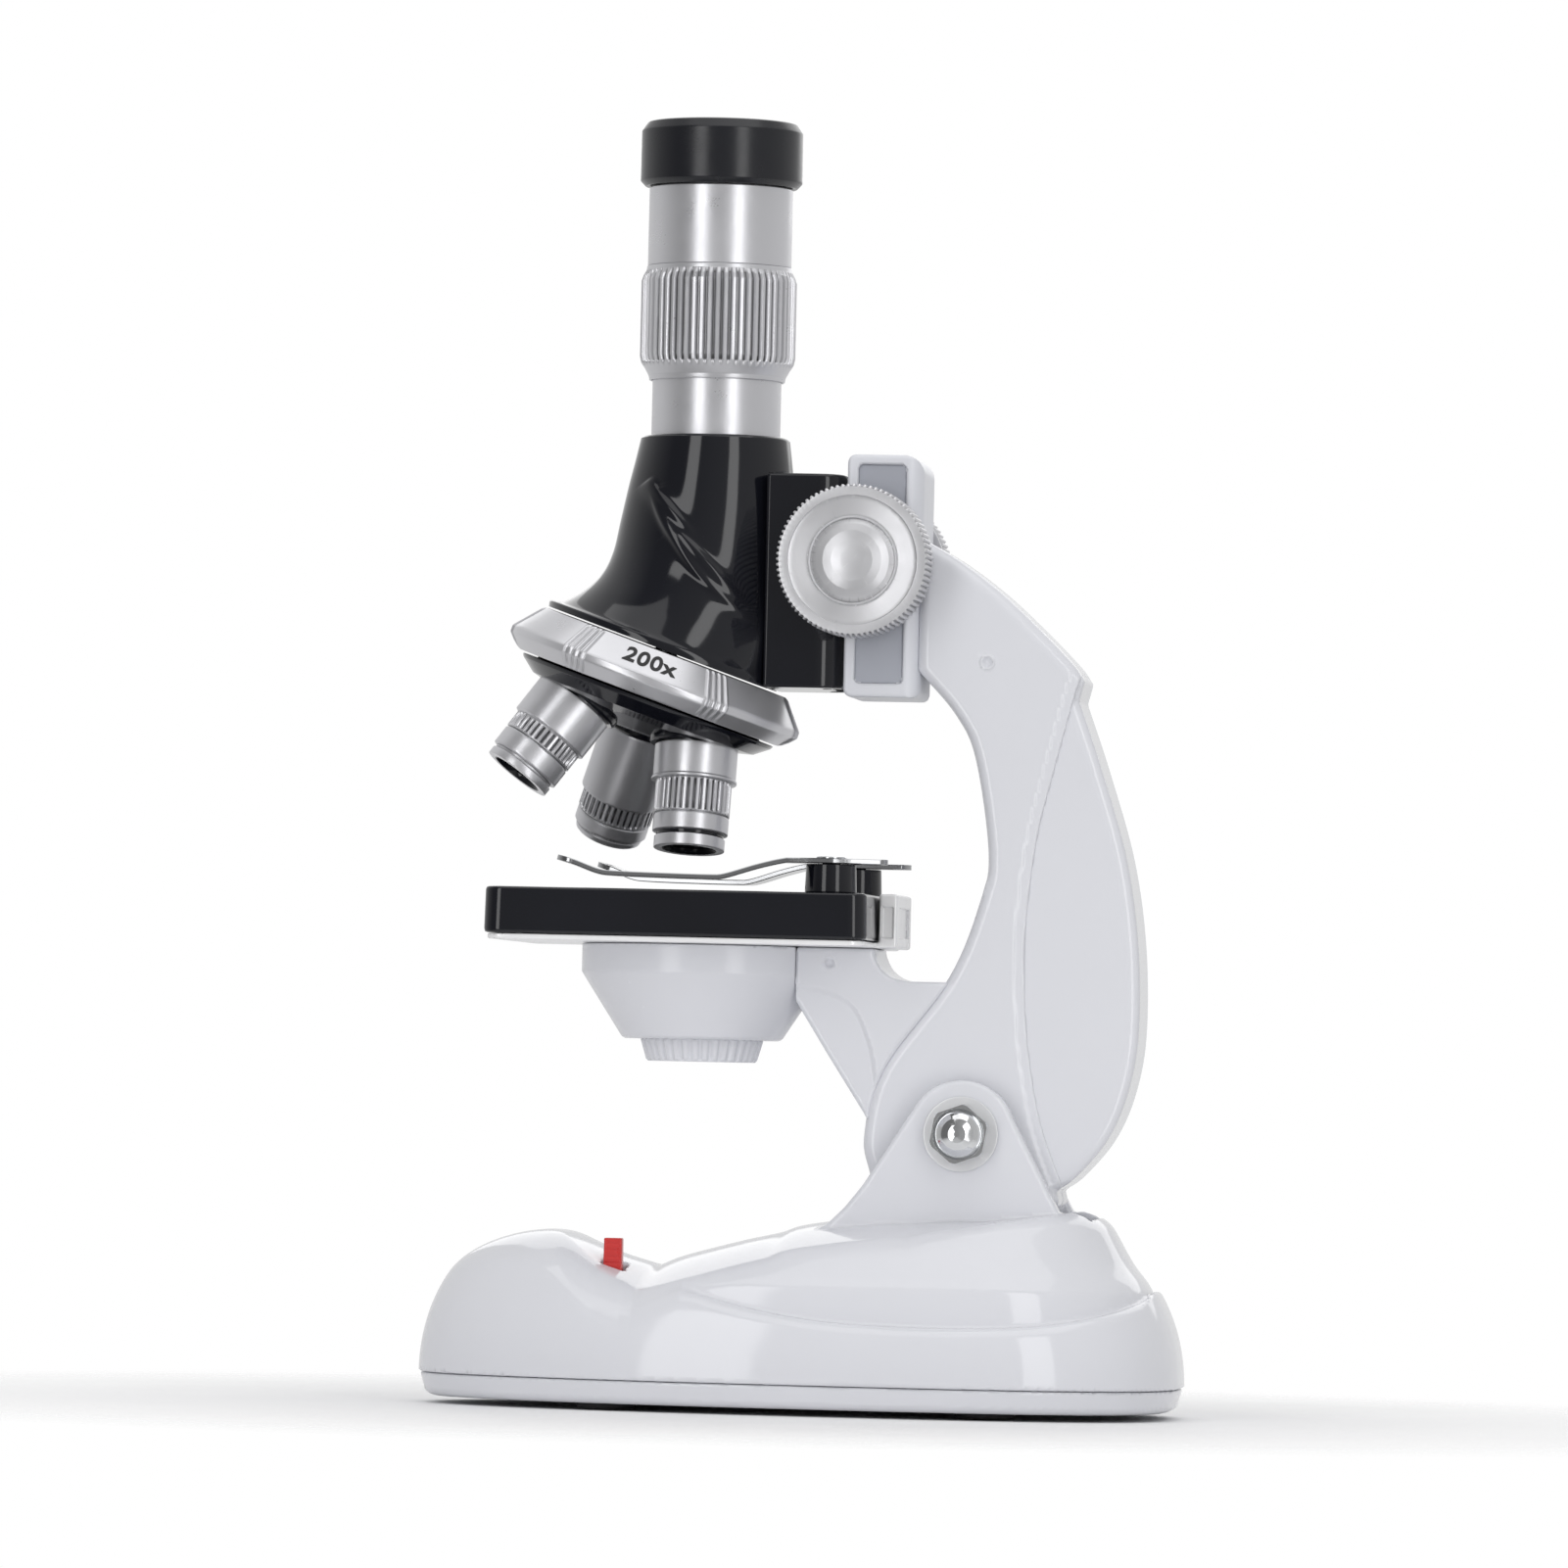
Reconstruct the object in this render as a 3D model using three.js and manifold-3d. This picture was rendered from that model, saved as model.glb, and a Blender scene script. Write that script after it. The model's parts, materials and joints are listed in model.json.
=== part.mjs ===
// A toy microscope with a tilting arm, a lit stage, a turret of three objectives,
// a rack-driven head and a zoom eyepiece.
//
// Frame: millimetres, +Z up. The origin is on the table plane under the middle of
// the base. -X is the front, where the stage is; +X is the arm side; the object is
// laid out about the plane Y = 0, and -Y is its left side.

import * as THREE from 'three';
import { mergeVertices } from 'three/addons/utils/BufferGeometryUtils.js';
import Module from 'manifold-3d';

const wasm = await Module();
wasm.setup();

// ---- Driving dimensions -------------------------------------------------------

const OPTICAL_X = -18; // the vertical axis of eyepiece, head, stage hole and lamp
const GAP = 0.15; // between pieces that are fitted together
const RUN = 0.1; // radial play of a running fit
const FINE = 24; // sides of a large round piece
const MEDIUM = 16;
const SMALL = 8;

// Base
const BASE_CENTRE_X = 15.15; // where the plan is widest
const BASE_FRONT_REACH = 80;
const BASE_REAR_REACH = 49.7;
const BASE_HALF_WIDTH = 40;
const BASE_SEAM_Z = 5; // shell above, bottom plate below
const BASE_WALL = 2.2;
const PLATE_Z = 1; // underside of the bottom plate
const PLATE_THICK = 2;
const FOOT_R = 5;
const FOOT_PLACES = [[-30, -24], [-30, 24], [34, -27], [34, 27]];
const BASE_SCREW_PLACES = [[-44, -12], [-44, 12], [50, -20.8], [50, 20.8]];

// Tilt hinge between base and arm
const HINGE_X = 27.9;
const HINGE_Z = 47.2;
const BOLT_R = 3;
const EAR_INNER_Y = 11.5;
const EAR_OUTER_Y = 16;
const EAR_R = 9.1;
const TROUGH_R = 21.2; // clears the foot of the arm
const TROUGH_REAR_R = 26; // clears the rear cover as the arm tilts back

// Arm
const ARM_HALF = 11;
const ARM_WALL = 2.2;
const ARM_SCREW_PLACES = [[31.5, 127], [33.5, 88]];

// Batteries, two AA cells side by side
const CELL_R = 7.25;
const CELL_LONG = 49;
const CELL_Y = 7.7;
const CELL_Z = 11.6;
const CELL_FRONT_X = -3.6;
const TRAY_FRONT_X = -6;
const TRAY_REAR_X = 52.4;
const TRAY_HALF = 15.4;
const DOOR_MARGIN = 1;

// Switch
const SWITCH_X = -30.1;
const SWITCH_Y = -17.5; // off position of the lever
const SWITCH_TRAVEL = 3;
const SWITCH_TOP_Z = 28.6;

// Stage
const STAGE_FRONT_X = -51.75;
const STAGE_REAR_X = 12.7;
const STAGE_HALF = 32;
const STAGE_LOW_Z = 79.2;
const STAGE_TOP_Z = 87;
const LIGHT_HOLE_R = 9;
const POST_X = 5.6;
const POST_Y = 21;
const POST_R = 4.25;
const POST_TOP_Z = 91.9;
const CLIP_SPLAY = 0.14; // radians, tips outwards

// Lamp housing
const LAMP_TOP_Z = 78.1;
const SEAM_X = -1.1; // where the lamp housing meets its bracket

// Head, rack and pinion
const KNOB_X = 8;
const KNOB_Z = 143;
const KNOB_R = 12.85;
const KNOB_INNER_Y = 12;
const KNOB_OUTER_Y = 22;
const SHAFT_R = 2;
const MODULE = 0.6;
const PINION_TEETH = 14;
const PITCH_R = MODULE * PINION_TEETH / 2;
const BACKLASH = 0.2;
const GUIDE_LOW_Z = 120.4;
const GUIDE_TOP_Z = 161.4;
const CARRIAGE_LOW_Z = 121.8;
const CARRIAGE_TOP_Z = 158;

// Turret: tilted so that one objective at a time hangs on the optical axis
const TURRET_TILT = THREE.MathUtils.degToRad(19.5);
const TURRET_CENTRE = new THREE.Vector3(-27.5, 0, 122.6);
const TURRET_TOP_N = 5.6; // joint with the head, above the centre along the axis
const OBJECTIVE_RADIUS = (OPTICAL_X - TURRET_CENTRE.x) / Math.cos(TURRET_TILT);
const TURRET_REST = THREE.MathUtils.degToRad(-27.5); // between two click stops

// Tubes and eyepiece
const TUBE_R = 10.95;
const SLEEVE_R = 9.75;
const EYEPIECE_R = 12.2;

const WHITE = { color: 0xd8d9df, roughness: 0.3, metalness: 0 };
const PANEL = { color: 0xaab0c4, roughness: 0.45, metalness: 0 };
const BLACK = { color: 0x232327, roughness: 0.25, metalness: 0 };
const SILVER = { color: 0xb4b6ba, roughness: 0.35, metalness: 0.7 };
const STEEL = { color: 0xc8cacc, roughness: 0.25, metalness: 1 };
const RUBBER = { color: 0x2b2b2d, roughness: 0.9, metalness: 0 };
const RED = { color: 0xd92b2b, roughness: 0.35, metalness: 0 };
const BLUE = { color: 0x31559b, roughness: 0.4, metalness: 0.1 };
const GREEN = { color: 0x2f6b45, roughness: 0.5, metalness: 0 };
const CLEAR = { color: 0xdfe8ee, roughness: 0.05, metalness: 0 };

// ---- Solids -------------------------------------------------------------------

// A geometry as a manifold solid, with its faces turned outwards.
function toSolid(geometry) {
  const bare = new THREE.BufferGeometry();
  bare.setAttribute('position', geometry.getAttribute('position'));
  bare.setIndex(geometry.getIndex());
  const merged = mergeVertices(bare, 1e-4);
  const place = merged.getAttribute('position');
  const index = merged.getIndex().array;
  const [a, b, c] = [new THREE.Vector3(), new THREE.Vector3(), new THREE.Vector3()];
  const kept = [];
  let volume = 0;
  for (let i = 0; i < index.length; i += 3) {
    const corners = [index[i], index[i + 1], index[i + 2]];
    if (new Set(corners).size < 3) continue;
    a.fromBufferAttribute(place, corners[0]);
    b.fromBufferAttribute(place, corners[1]);
    c.fromBufferAttribute(place, corners[2]);
    volume += a.dot(b.cross(c));
    kept.push(corners);
  }
  const triVerts = new Uint32Array((volume < 0 ? kept.map((t) => t.toReversed()) : kept).flat());
  return new wasm.Manifold(new wasm.Mesh({
    numProp: 3,
    vertProperties: new Float32Array(place.array),
    triVerts,
  }));
}

function toGeometry(solid) {
  const mesh = solid.getMesh();
  const geometry = new THREE.BufferGeometry();
  geometry.setAttribute('position', new THREE.BufferAttribute(mesh.vertProperties, 3));
  geometry.setIndex(new THREE.BufferAttribute(mesh.triVerts, 1));
  return geometry;
}

function join(first, ...others) {
  return toGeometry(others.reduce((sum, other) => sum.add(toSolid(other)), toSolid(first)));
}

function cut(first, ...others) {
  return toGeometry(others.reduce((rest, other) => rest.subtract(toSolid(other)), toSolid(first)));
}

function common(first, second) {
  return toGeometry(toSolid(first).intersect(toSolid(second)));
}

// ---- Shapes -------------------------------------------------------------------

function box(x0, x1, y0, y1, z0, z1) {
  const geometry = new THREE.BoxGeometry(x1 - x0, y1 - y0, z1 - z0);
  return geometry.translate((x0 + x1) / 2, (y0 + y1) / 2, (z0 + z1) / 2);
}

// A profile of [radius, height] points turned about Z. A profile that leaves the
// axis free is closed on itself.
function turned(profile, segments = MEDIUM) {
  const onAxis = profile[0][0] === 0 && profile.at(-1)[0] === 0;
  const closed = onAxis ? profile : [...profile, profile[0]];
  const points = closed.map(([r, z]) => new THREE.Vector2(r, z));
  return new THREE.LatheGeometry(points, segments).rotateX(Math.PI / 2);
}

function rod(radius, z0, z1, segments = MEDIUM) {
  return turned([[0, z0], [radius, z0], [radius, z1], [0, z1]], segments);
}

// A rod along Y through the point (x, z).
function rodY(radius, x, z, y0, y1, segments = MEDIUM) {
  return rod(radius, -y1, -y0, segments).rotateX(Math.PI / 2).translate(x, 0, z);
}

function extruded(points, depth, bevel) {
  const shape = new THREE.Shape(points.map(([x, y]) => new THREE.Vector2(x, y)));
  return new THREE.ExtrudeGeometry(shape, {
    depth: depth - 2 * bevel,
    bevelEnabled: bevel > 0,
    bevelThickness: bevel,
    bevelSize: bevel,
    bevelOffset: -bevel,
    bevelSegments: 1,
  }).translate(0, 0, bevel);
}

// An outline of [x, y] points, from z0 up to z1.
function slabZ(points, z0, z1, bevel = 0) {
  return extruded(points, z1 - z0, bevel).translate(0, 0, z0);
}

// An outline of [x, z] points, from y0 across to y1.
function slabY(points, y0, y1, bevel = 0) {
  return extruded(points, y1 - y0, bevel).rotateX(Math.PI / 2).translate(0, y1, 0);
}

// A smooth line through [a, b] points, as that many steps.
function smooth(points, steps) {
  const curve = new THREE.SplineCurve(points.map(([a, b]) => new THREE.Vector2(a, b)));
  return curve.getPoints(steps).map((p) => [p.x, p.y]);
}

function arc(x, z, radius, fromDeg, toDeg, steps) {
  return Array.from({ length: steps + 1 }, (_, i) => {
    const angle = THREE.MathUtils.degToRad(fromDeg + (toDeg - fromDeg) * i / steps);
    return [x + radius * Math.cos(angle), z + radius * Math.sin(angle)];
  });
}

function roundedBox(x0, x1, y0, y1, radius) {
  const r = radius;
  return [
    ...arc(x1 - r, y1 - r, r, 0, 90, 3),
    ...arc(x0 + r, y1 - r, r, 90, 180, 3),
    ...arc(x0 + r, y0 + r, r, 180, 270, 3),
    ...arc(x1 - r, y0 + r, r, 270, 360, 3),
  ];
}

// The outline moved inwards by a distance.
function insetOutline(points, distance) {
  const side = THREE.ShapeUtils.isClockWise(points.map(([x, y]) => new THREE.Vector2(x, y))) ? -1 : 1;
  return points.map((point, i) => {
    const before = points.at(i - 1);
    const after = points[(i + 1) % points.length];
    const one = new THREE.Vector2(point[0] - before[0], point[1] - before[1]).normalize();
    const two = new THREE.Vector2(after[0] - point[0], after[1] - point[1]).normalize();
    const along = one.clone().add(two).normalize();
    const stretch = 1 / Math.max(0.5, along.dot(one));
    return [
      point[0] - side * along.y * distance * stretch,
      point[1] + side * along.x * distance * stretch,
    ];
  });
}

// A solid through flat rings of equal count, from the lowest to the highest.
function lofted(rings) {
  const count = rings[0].length;
  const places = rings.flat();
  const index = [];
  for (let r = 0; r < rings.length - 1; r += 1) {
    for (let i = 0; i < count; i += 1) {
      const [a, b] = [r * count + i, r * count + (i + 1) % count];
      index.push(a, b, b + count, a, b + count, a + count);
    }
  }
  const top = (rings.length - 1) * count;
  for (let i = 1; i < count - 1; i += 1) {
    index.push(0, i + 1, i);
    index.push(top, top + i, top + i + 1);
  }
  const geometry = new THREE.BufferGeometry();
  geometry.setAttribute('position', new THREE.Float32BufferAttribute(places.flat(), 3));
  geometry.setIndex(index);
  return geometry;
}

// A wire or cable of round section along a smooth path of [x, y, z] points.
function wire(path, radius, steps, sides = 6) {
  const curve = new THREE.CatmullRomCurve3(path.map((p) => new THREE.Vector3(...p)));
  const section = new THREE.Shape(arc(0, 0, radius, 0, 360 - 360 / sides, sides - 1)
    .map(([x, y]) => new THREE.Vector2(x, y)));
  return new THREE.ExtrudeGeometry(section, { steps, extrudePath: curve });
}

// ---- Assembly -----------------------------------------------------------------

const microscope = new THREE.Group();

function add(name, geometry, finish, parent = microscope) {
  const mesh = new THREE.Mesh(toGeometry(toSolid(geometry)), new THREE.MeshStandardMaterial(finish));
  mesh.name = name;
  parent.add(mesh);
  return mesh;
}

// ---- Base ---------------------------------------------------------------------

// The plan of the base, drawn in by a distance, at a height: long and round in
// front, squarer behind.
function basePlan(inset, z, count = 28) {
  return Array.from({ length: count }, (_, i) => {
    const angle = 2 * Math.PI * i / count;
    const [c, s] = [Math.cos(angle), Math.sin(angle)];
    const [reach, power] = c < 0 ? [BASE_FRONT_REACH, 2.2] : [BASE_REAR_REACH, 2.8];
    const x = BASE_CENTRE_X + Math.sign(c) * (reach - inset) * Math.abs(c) ** (2 / power);
    const y = Math.sign(s) * (BASE_HALF_WIDTH - inset) * Math.abs(s) ** (2 / power);
    return [x, y, z];
  });
}

// The flank of the skirt is a quarter of an ellipse.
function skirtInset(z) {
  const [acrossFlank, upFlank] = [17.5, 24.6];
  const rise = Math.min(0.995, (z - BASE_SEAM_Z) / upFlank);
  return acrossFlank * (1 - Math.sqrt(1 - rise * rise));
}

// Heights of the top line: the front hump, the dip under the lamp, the tier behind.
const HUMP_LINE = [[-70, 28.6], [-52.4, 29.2], [-45, 29.5], [-40.3, 29.3], [-35, 27.7], [-30, 25.5],
  [-25.8, 23.8], [-22.3, 22.5]];
const CREASE_LINE = [[-15.3, 20.2], [-3.8, 17.3], [9.3, 15.5], [27.3, 15], [42, 15.6], [52.6, 17.4],
  [58.8, 19.8], [61, 22.5], [70, 23]];
const TIER_LINE = [[-18.2, 23], [-13.3, 24.8], [-6.8, 27.2], [7, 32.3], [20, 34.7], [35, 35.3],
  [48, 34.6], [70, 33]];

function under(line, z) {
  return [...line, [line.at(-1)[0], z], [line[0][0], z]];
}

function baseSkirt() {
  const levels = [5, 12, 18, 23, 27, 29.5];
  const body = lofted(levels.map((z) => basePlan(skirtInset(z), z)));
  return common(body, slabY(under([...HUMP_LINE, ...CREASE_LINE], 0), -60, 60));
}

function baseTier() {
  const levels = [[12, 3.7], [19.7, 5.2], [22.3, 6.2], [26, 9.5], [32.5, 13.9], [35.4, 20]];
  const body = lofted(levels.map(([z, inset]) => basePlan(inset, z)));
  const line = [[-45, 15], [-24, 20], [-22.3, 22.4], ...TIER_LINE];
  return common(body, slabY(under(line, 10), -60, 60));
}

function baseEar(y0, y1) {
  const outline = [
    [5.8, 27], [5.8, 31.8], [11.5, 38.3],
    ...arc(HINGE_X, HINGE_Z, EAR_R, 152, 18, 10),
    [44.9, 34], [44.9, 27],
  ];
  return slabY(outline, y0, y1, 0.9);
}

function baseCavity() {
  const levels = [[2, 3], [16, 7.2], [24, 10.6], [31.5, 17.5]];
  const body = lofted(levels.map(([z, inset]) => basePlan(inset, z, 20)));
  const ceiling = [...HUMP_LINE, ...TIER_LINE].map(([x, z]) => [x, z - 2.6]);
  const space = common(body, slabY(under(ceiling, 0), -60, 60));
  const trough = [
    ...arc(HINGE_X, HINGE_Z, TROUGH_R + BASE_WALL, 180, 300, 5),
    ...arc(HINGE_X, HINGE_Z, TROUGH_REAR_R + BASE_WALL, 310, 360, 3),
  ];
  return cut(space, slabY(trough, -EAR_INNER_Y - BASE_WALL, EAR_INNER_Y + BASE_WALL));
}

function baseTrough() {
  const outline = [
    ...arc(HINGE_X, HINGE_Z, TROUGH_R, 170, 310, 9),
    ...arc(HINGE_X, HINGE_Z, TROUGH_REAR_R, 322, 350, 3),
    [HINGE_X, HINGE_Z + 14],
  ];
  return slabY(outline, -EAR_INNER_Y, EAR_INNER_Y);
}

function baseShell() {
  const outside = join(
    baseSkirt(),
    baseTier(),
    baseEar(-EAR_OUTER_Y, -EAR_INNER_Y),
    baseEar(EAR_INNER_Y, EAR_OUTER_Y),
  );
  let shell = cut(outside, baseCavity());
  for (const [x, y] of BASE_SCREW_PLACES) {
    const post = common(rod(3, PLATE_Z + PLATE_THICK + GAP, 40, SMALL).translate(x, y, 0), outside);
    shell = cut(join(shell, post), rod(1.3, 0, 17, SMALL).translate(x, y, 0));
  }
  const slot = box(SWITCH_X - 3.1, SWITCH_X + 3.1, SWITCH_Y - 1.8, SWITCH_Y + SWITCH_TRAVEL + 1.8, 18, 40);
  const bore = rodY(BOLT_R + GAP, HINGE_X, HINGE_Z, -30, 30);
  return cut(shell, baseTrough(), bore, slot);
}

function basePlate() {
  const rim = lofted([[PLATE_Z, 2.2], [2, 1.1], [BASE_SEAM_Z - GAP, 0.4]]
    .map(([z, inset]) => basePlan(inset, z)));
  const inside = lofted([[PLATE_Z + PLATE_THICK, 3.2], [8, 3.2]]
    .map(([z, inset]) => basePlan(inset, z, 20)));
  const floor = PLATE_Z + PLATE_THICK - 0.5;
  const [front, rear] = [TRAY_FRONT_X, TRAY_REAR_X];
  const tray = cut(
    box(front - 1.6, rear + 1.6, -TRAY_HALF - 1.6, TRAY_HALF + 1.6, floor, 14),
    box(front, rear, -TRAY_HALF, TRAY_HALF, 0, 30),
  );
  const pedestal = box(SWITCH_X - 4, SWITCH_X + 4, -21, -11, floor, 10.9);
  let plate = cut(
    join(cut(rim, inside), tray, pedestal),
    box(front, rear, -TRAY_HALF, TRAY_HALF, 0, 30),
    box(
      front - DOOR_MARGIN, rear + DOOR_MARGIN,
      -TRAY_HALF - DOOR_MARGIN, TRAY_HALF + DOOR_MARGIN,
      0, PLATE_Z + 1.2,
    ),
  );
  for (const [x, y] of BASE_SCREW_PLACES) {
    plate = cut(
      plate,
      rod(1.4, 0, 8, SMALL).translate(x, y, 0),
      rod(2.9, 0, PLATE_Z + 1.3, SMALL).translate(x, y, 0),
    );
  }
  for (const [x, y] of FOOT_PLACES) {
    plate = cut(plate, rod(FOOT_R + GAP, 0, PLATE_Z + 1.2).translate(x, y, 0));
  }
  return plate;
}

function foot() {
  return turned([[0, 0], [FOOT_R - 0.5, 0], [FOOT_R, 0.4], [FOOT_R, PLATE_Z + 1], [0, PLATE_Z + 1]]);
}

// A pan-head screw standing on its head, with its point upwards.
function screw(headR, headHigh, shankR, long) {
  const tip = headHigh + long;
  return turned([[0, 0], [headR * 0.8, 0], [headR, headHigh * 0.4], [headR, headHigh],
    [shankR, headHigh], [shankR, tip - shankR], [0, tip]], SMALL);
}

function cell() {
  return turned([[0, 0], [CELL_R, 0], [CELL_R, CELL_LONG], [2.75, CELL_LONG],
    [2.75, CELL_LONG + 1.3], [0, CELL_LONG + 1.3]]);
}

function cellSpring() {
  const turns = 2.5;
  const path = Array.from({ length: 21 }, (_, i) => {
    const along = i / 20;
    const angle = 2 * Math.PI * turns * along;
    const radius = 4.6 - 2 * along;
    return [radius * Math.cos(angle), radius * Math.sin(angle), 4 * along];
  });
  return wire(path, 0.4, 20, 4);
}

function addBase() {
  add('base_shell', baseShell(), WHITE);
  add('base_plate', basePlate(), WHITE);
  FOOT_PLACES.forEach(([x, y], i) => add(`foot_${i + 1}`, foot(), RUBBER).position.set(x, y, 0));
  BASE_SCREW_PLACES.forEach(([x, y], i) => {
    add(`base_screw_${i + 1}`, screw(2.6, 1, 1.1, 12), STEEL).position.set(x, y, PLATE_Z + 0.2);
  });
  const doorEdge = DOOR_MARGIN - GAP;
  add('battery_door', box(
    TRAY_FRONT_X - doorEdge, TRAY_REAR_X + doorEdge,
    -TRAY_HALF - doorEdge, TRAY_HALF + doorEdge,
    PLATE_Z + 0.05, PLATE_Z + 1.1,
  ), WHITE);
  for (const [name, side] of [['left', -1], ['right', 1]]) {
    const turn = side > 0 ? 1 : -1;
    const battery = add(`battery_cell_${name}`, cell(), BLUE);
    battery.rotation.y = turn * Math.PI / 2;
    battery.position.set(
      turn > 0 ? CELL_FRONT_X : CELL_FRONT_X + CELL_LONG + 1.3,
      side * CELL_Y,
      CELL_Z,
    );
  }
  const linkHalf = CELL_Y + 5;
  add('battery_link_plate', box(-5.8, -5.2, -linkHalf, linkHalf, CELL_Z - 5, CELL_Z + 5), STEEL);
  for (const [name, side] of [['left', -1], ['right', 1]]) {
    const spring = add(`battery_spring_${name}`, cellSpring(), STEEL);
    spring.rotation.y = -Math.PI / 2;
    spring.position.set(TRAY_REAR_X - 0.6, side * CELL_Y, CELL_Z);
  }
  addSwitch();
  addHinge();
}

function addSwitch() {
  const [x, middle] = [SWITCH_X, SWITCH_Y + SWITCH_TRAVEL / 2];
  const body = cut(
    box(x - 5, x + 5, middle - 6.6, middle + 6.6, 11, 19),
    box(x - 3.5, x + 3.5, middle - 5.2, middle + 5.2, 13.5, 20),
  );
  add('switch_body', body, BLACK);
  const lever = join(
    box(x - 3.3, x + 3.3, SWITCH_Y - 3.2, SWITCH_Y + 3.2, 13.7, 17),
    slabY([[x - 1.6, 16], [x + 1.6, 16], [x + 1.6, SWITCH_TOP_Z], [x - 1.6, SWITCH_TOP_Z]],
      SWITCH_Y - 1.4, SWITCH_Y + 1.4, 0.3),
  );
  add('switch_slider', lever, RED);
}

// A hexagon across the X and Z axes, from y0 to y1.
function hexY(acrossFlats, y0, y1) {
  return rodY(acrossFlats / Math.sqrt(3), HINGE_X, HINGE_Z, y0, y1, 6);
}

function addHinge() {
  const washerOuterY = EAR_OUTER_Y + 0.8;
  for (const [name, side] of [['left', -1], ['right', 1]]) {
    const ring = turned([[BOLT_R + GAP, 0], [6.3, 0], [6.3, 0.7], [BOLT_R + GAP, 0.7]]);
    const washer = add(`hinge_washer_${name}`, ring, STEEL);
    washer.rotation.x = side > 0 ? -Math.PI / 2 : Math.PI / 2;
    washer.position.set(HINGE_X, side * (EAR_OUTER_Y + 0.05), HINGE_Z);
  }
  const head = hexY(9, washerOuterY, washerOuterY + 3.6);
  const shank = rodY(BOLT_R, HINGE_X, HINGE_Z, -19.5, washerOuterY + 1);
  add('hinge_bolt', join(head, shank), STEEL);
  const dome = turned([[0, 0], [3.9, 0], [3.6, 1.2], [2.6, 2.2], [1.2, 2.7], [0, 2.8]])
    .rotateX(Math.PI / 2).translate(HINGE_X, -washerOuterY - 3.4, HINGE_Z);
  const nut = join(hexY(9, -washerOuterY - 3.6, -washerOuterY), dome);
  const thread = rodY(BOLT_R + 0.05, HINGE_X, HINGE_Z, -19.6, 0);
  add('hinge_dome_nut', cut(nut, thread), STEEL);
}

// ---- Arm ----------------------------------------------------------------------

const armTopLine = smooth([[18.3, 147.6], [24.7, 144], [31.6, 139], [38.4, 132.9], [44.4, 126.9],
  [46.6, 123.9]], 8);
const armRearLine = smooth([[45.7, 120.5], [49.8, 108.9], [54.3, 94], [56.6, 79], [56.9, 64.1],
  [55.2, 54.1], [52, 46.6], [47.1, 40.6], [43.7, 38]], 15);
const armInnerLine = smooth([[12.1, 39.9], [10.9, 46.5], [13.8, 58.1], [24.7, 73.5], [29.7, 86.5],
  [30.9, 94.7], [28.4, 110.3], [24.9, 117.7], [18.3, 125.2]], 16);
const armFootLine = arc(HINGE_X, HINGE_Z, 18.6, -55, -145, 6);
const armBorderLine = smooth([[45.2, 122], [41.7, 108.1], [39.1, 96.5], [37.6, 81.7], [37.7, 71.8],
  [38.6, 61.1], [41, 48.8], [45.5, 36.9]], 12);

function armSolid() {
  const outline = [...armTopLine, ...armRearLine, [44.1, 36.4], [43.1, 33.9], ...armFootLine,
    ...armInnerLine];
  return slabY(outline, -ARM_HALF, ARM_HALF, 1.6);
}

function armSpace() {
  const outline = [
    ...smooth([[18.3, 147.6], [31.6, 139], [45.6, 125]], 4),
    ...smooth([[46.4, 118], [54.3, 94], [56.9, 64.1], [52, 46.6], [43, 36]], 8),
    ...smooth([[36, 30.4], [HINGE_X, 28.6], [18, 31.6]], 3),
    ...smooth([[12.1, 39.9], [13.8, 58.1], [24.7, 73.5], [30.9, 94.7], [24.9, 117.7], [18.3, 125.2]], 8),
  ];
  const half = ARM_HALF - ARM_WALL;
  return slabY(insetOutline(outline, ARM_WALL), -half, half);
}

function armRearSide(clearance) {
  const line = armBorderLine.map(([x, z]) => [x + clearance, z]);
  return slabY([...line, [80, 36.9], [80, 122]], -30, 30);
}

// Lugs that plug into the arm, with a clearance around them for the sockets.
function guideLug(clearance) {
  const c = clearance;
  return box(17.5, 25, -6 - c, 6 + c, 130 - c, 142 + c);
}

function bracketLug(clearance) {
  const c = clearance;
  return slabY([[17, 66 - c], [27, 68 - c], [27, 75 + c], [20, 75 + c]], -5 - c, 5 + c);
}

const CABLE_PATH = [[22, 5, 37], [17.5, 5, 44], [17.5, 5.5, 56], [20.5, 6.8, 64], [16, 7, 69],
  [6, 6, 73], [-2, 4, 74.6], [-9, 1, 72.5], [-11.2, 0, 68.8]];

function armCasing() {
  const front = cut(armSolid(), armSpace(), armRearSide(0));
  const bosses = [[HINGE_X, HINGE_Z, 6, BOLT_R + RUN], ...ARM_SCREW_PLACES.map((p) => [...p, 3, 1.2])];
  let casing = front;
  for (const [x, z, outer] of bosses) {
    casing = join(casing, rodY(outer, x, z, -ARM_HALF + 1, ARM_HALF - 1, outer > 4 ? MEDIUM : SMALL));
  }
  for (const [x, z, , inner] of bosses) {
    casing = cut(casing, rodY(inner, x, z, inner > 2 ? -20 : -5, 20, inner > 2 ? MEDIUM : SMALL));
  }
  for (const [x, z] of ARM_SCREW_PLACES) {
    casing = cut(casing, rodY(2.7, x, z, ARM_HALF - 2.4, 20, SMALL));
  }
  const cableHole = box(12, 26, 5, 8.7, 60, 69);
  return cut(casing, guideLug(GAP), bracketLug(GAP), cableHole);
}

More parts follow.
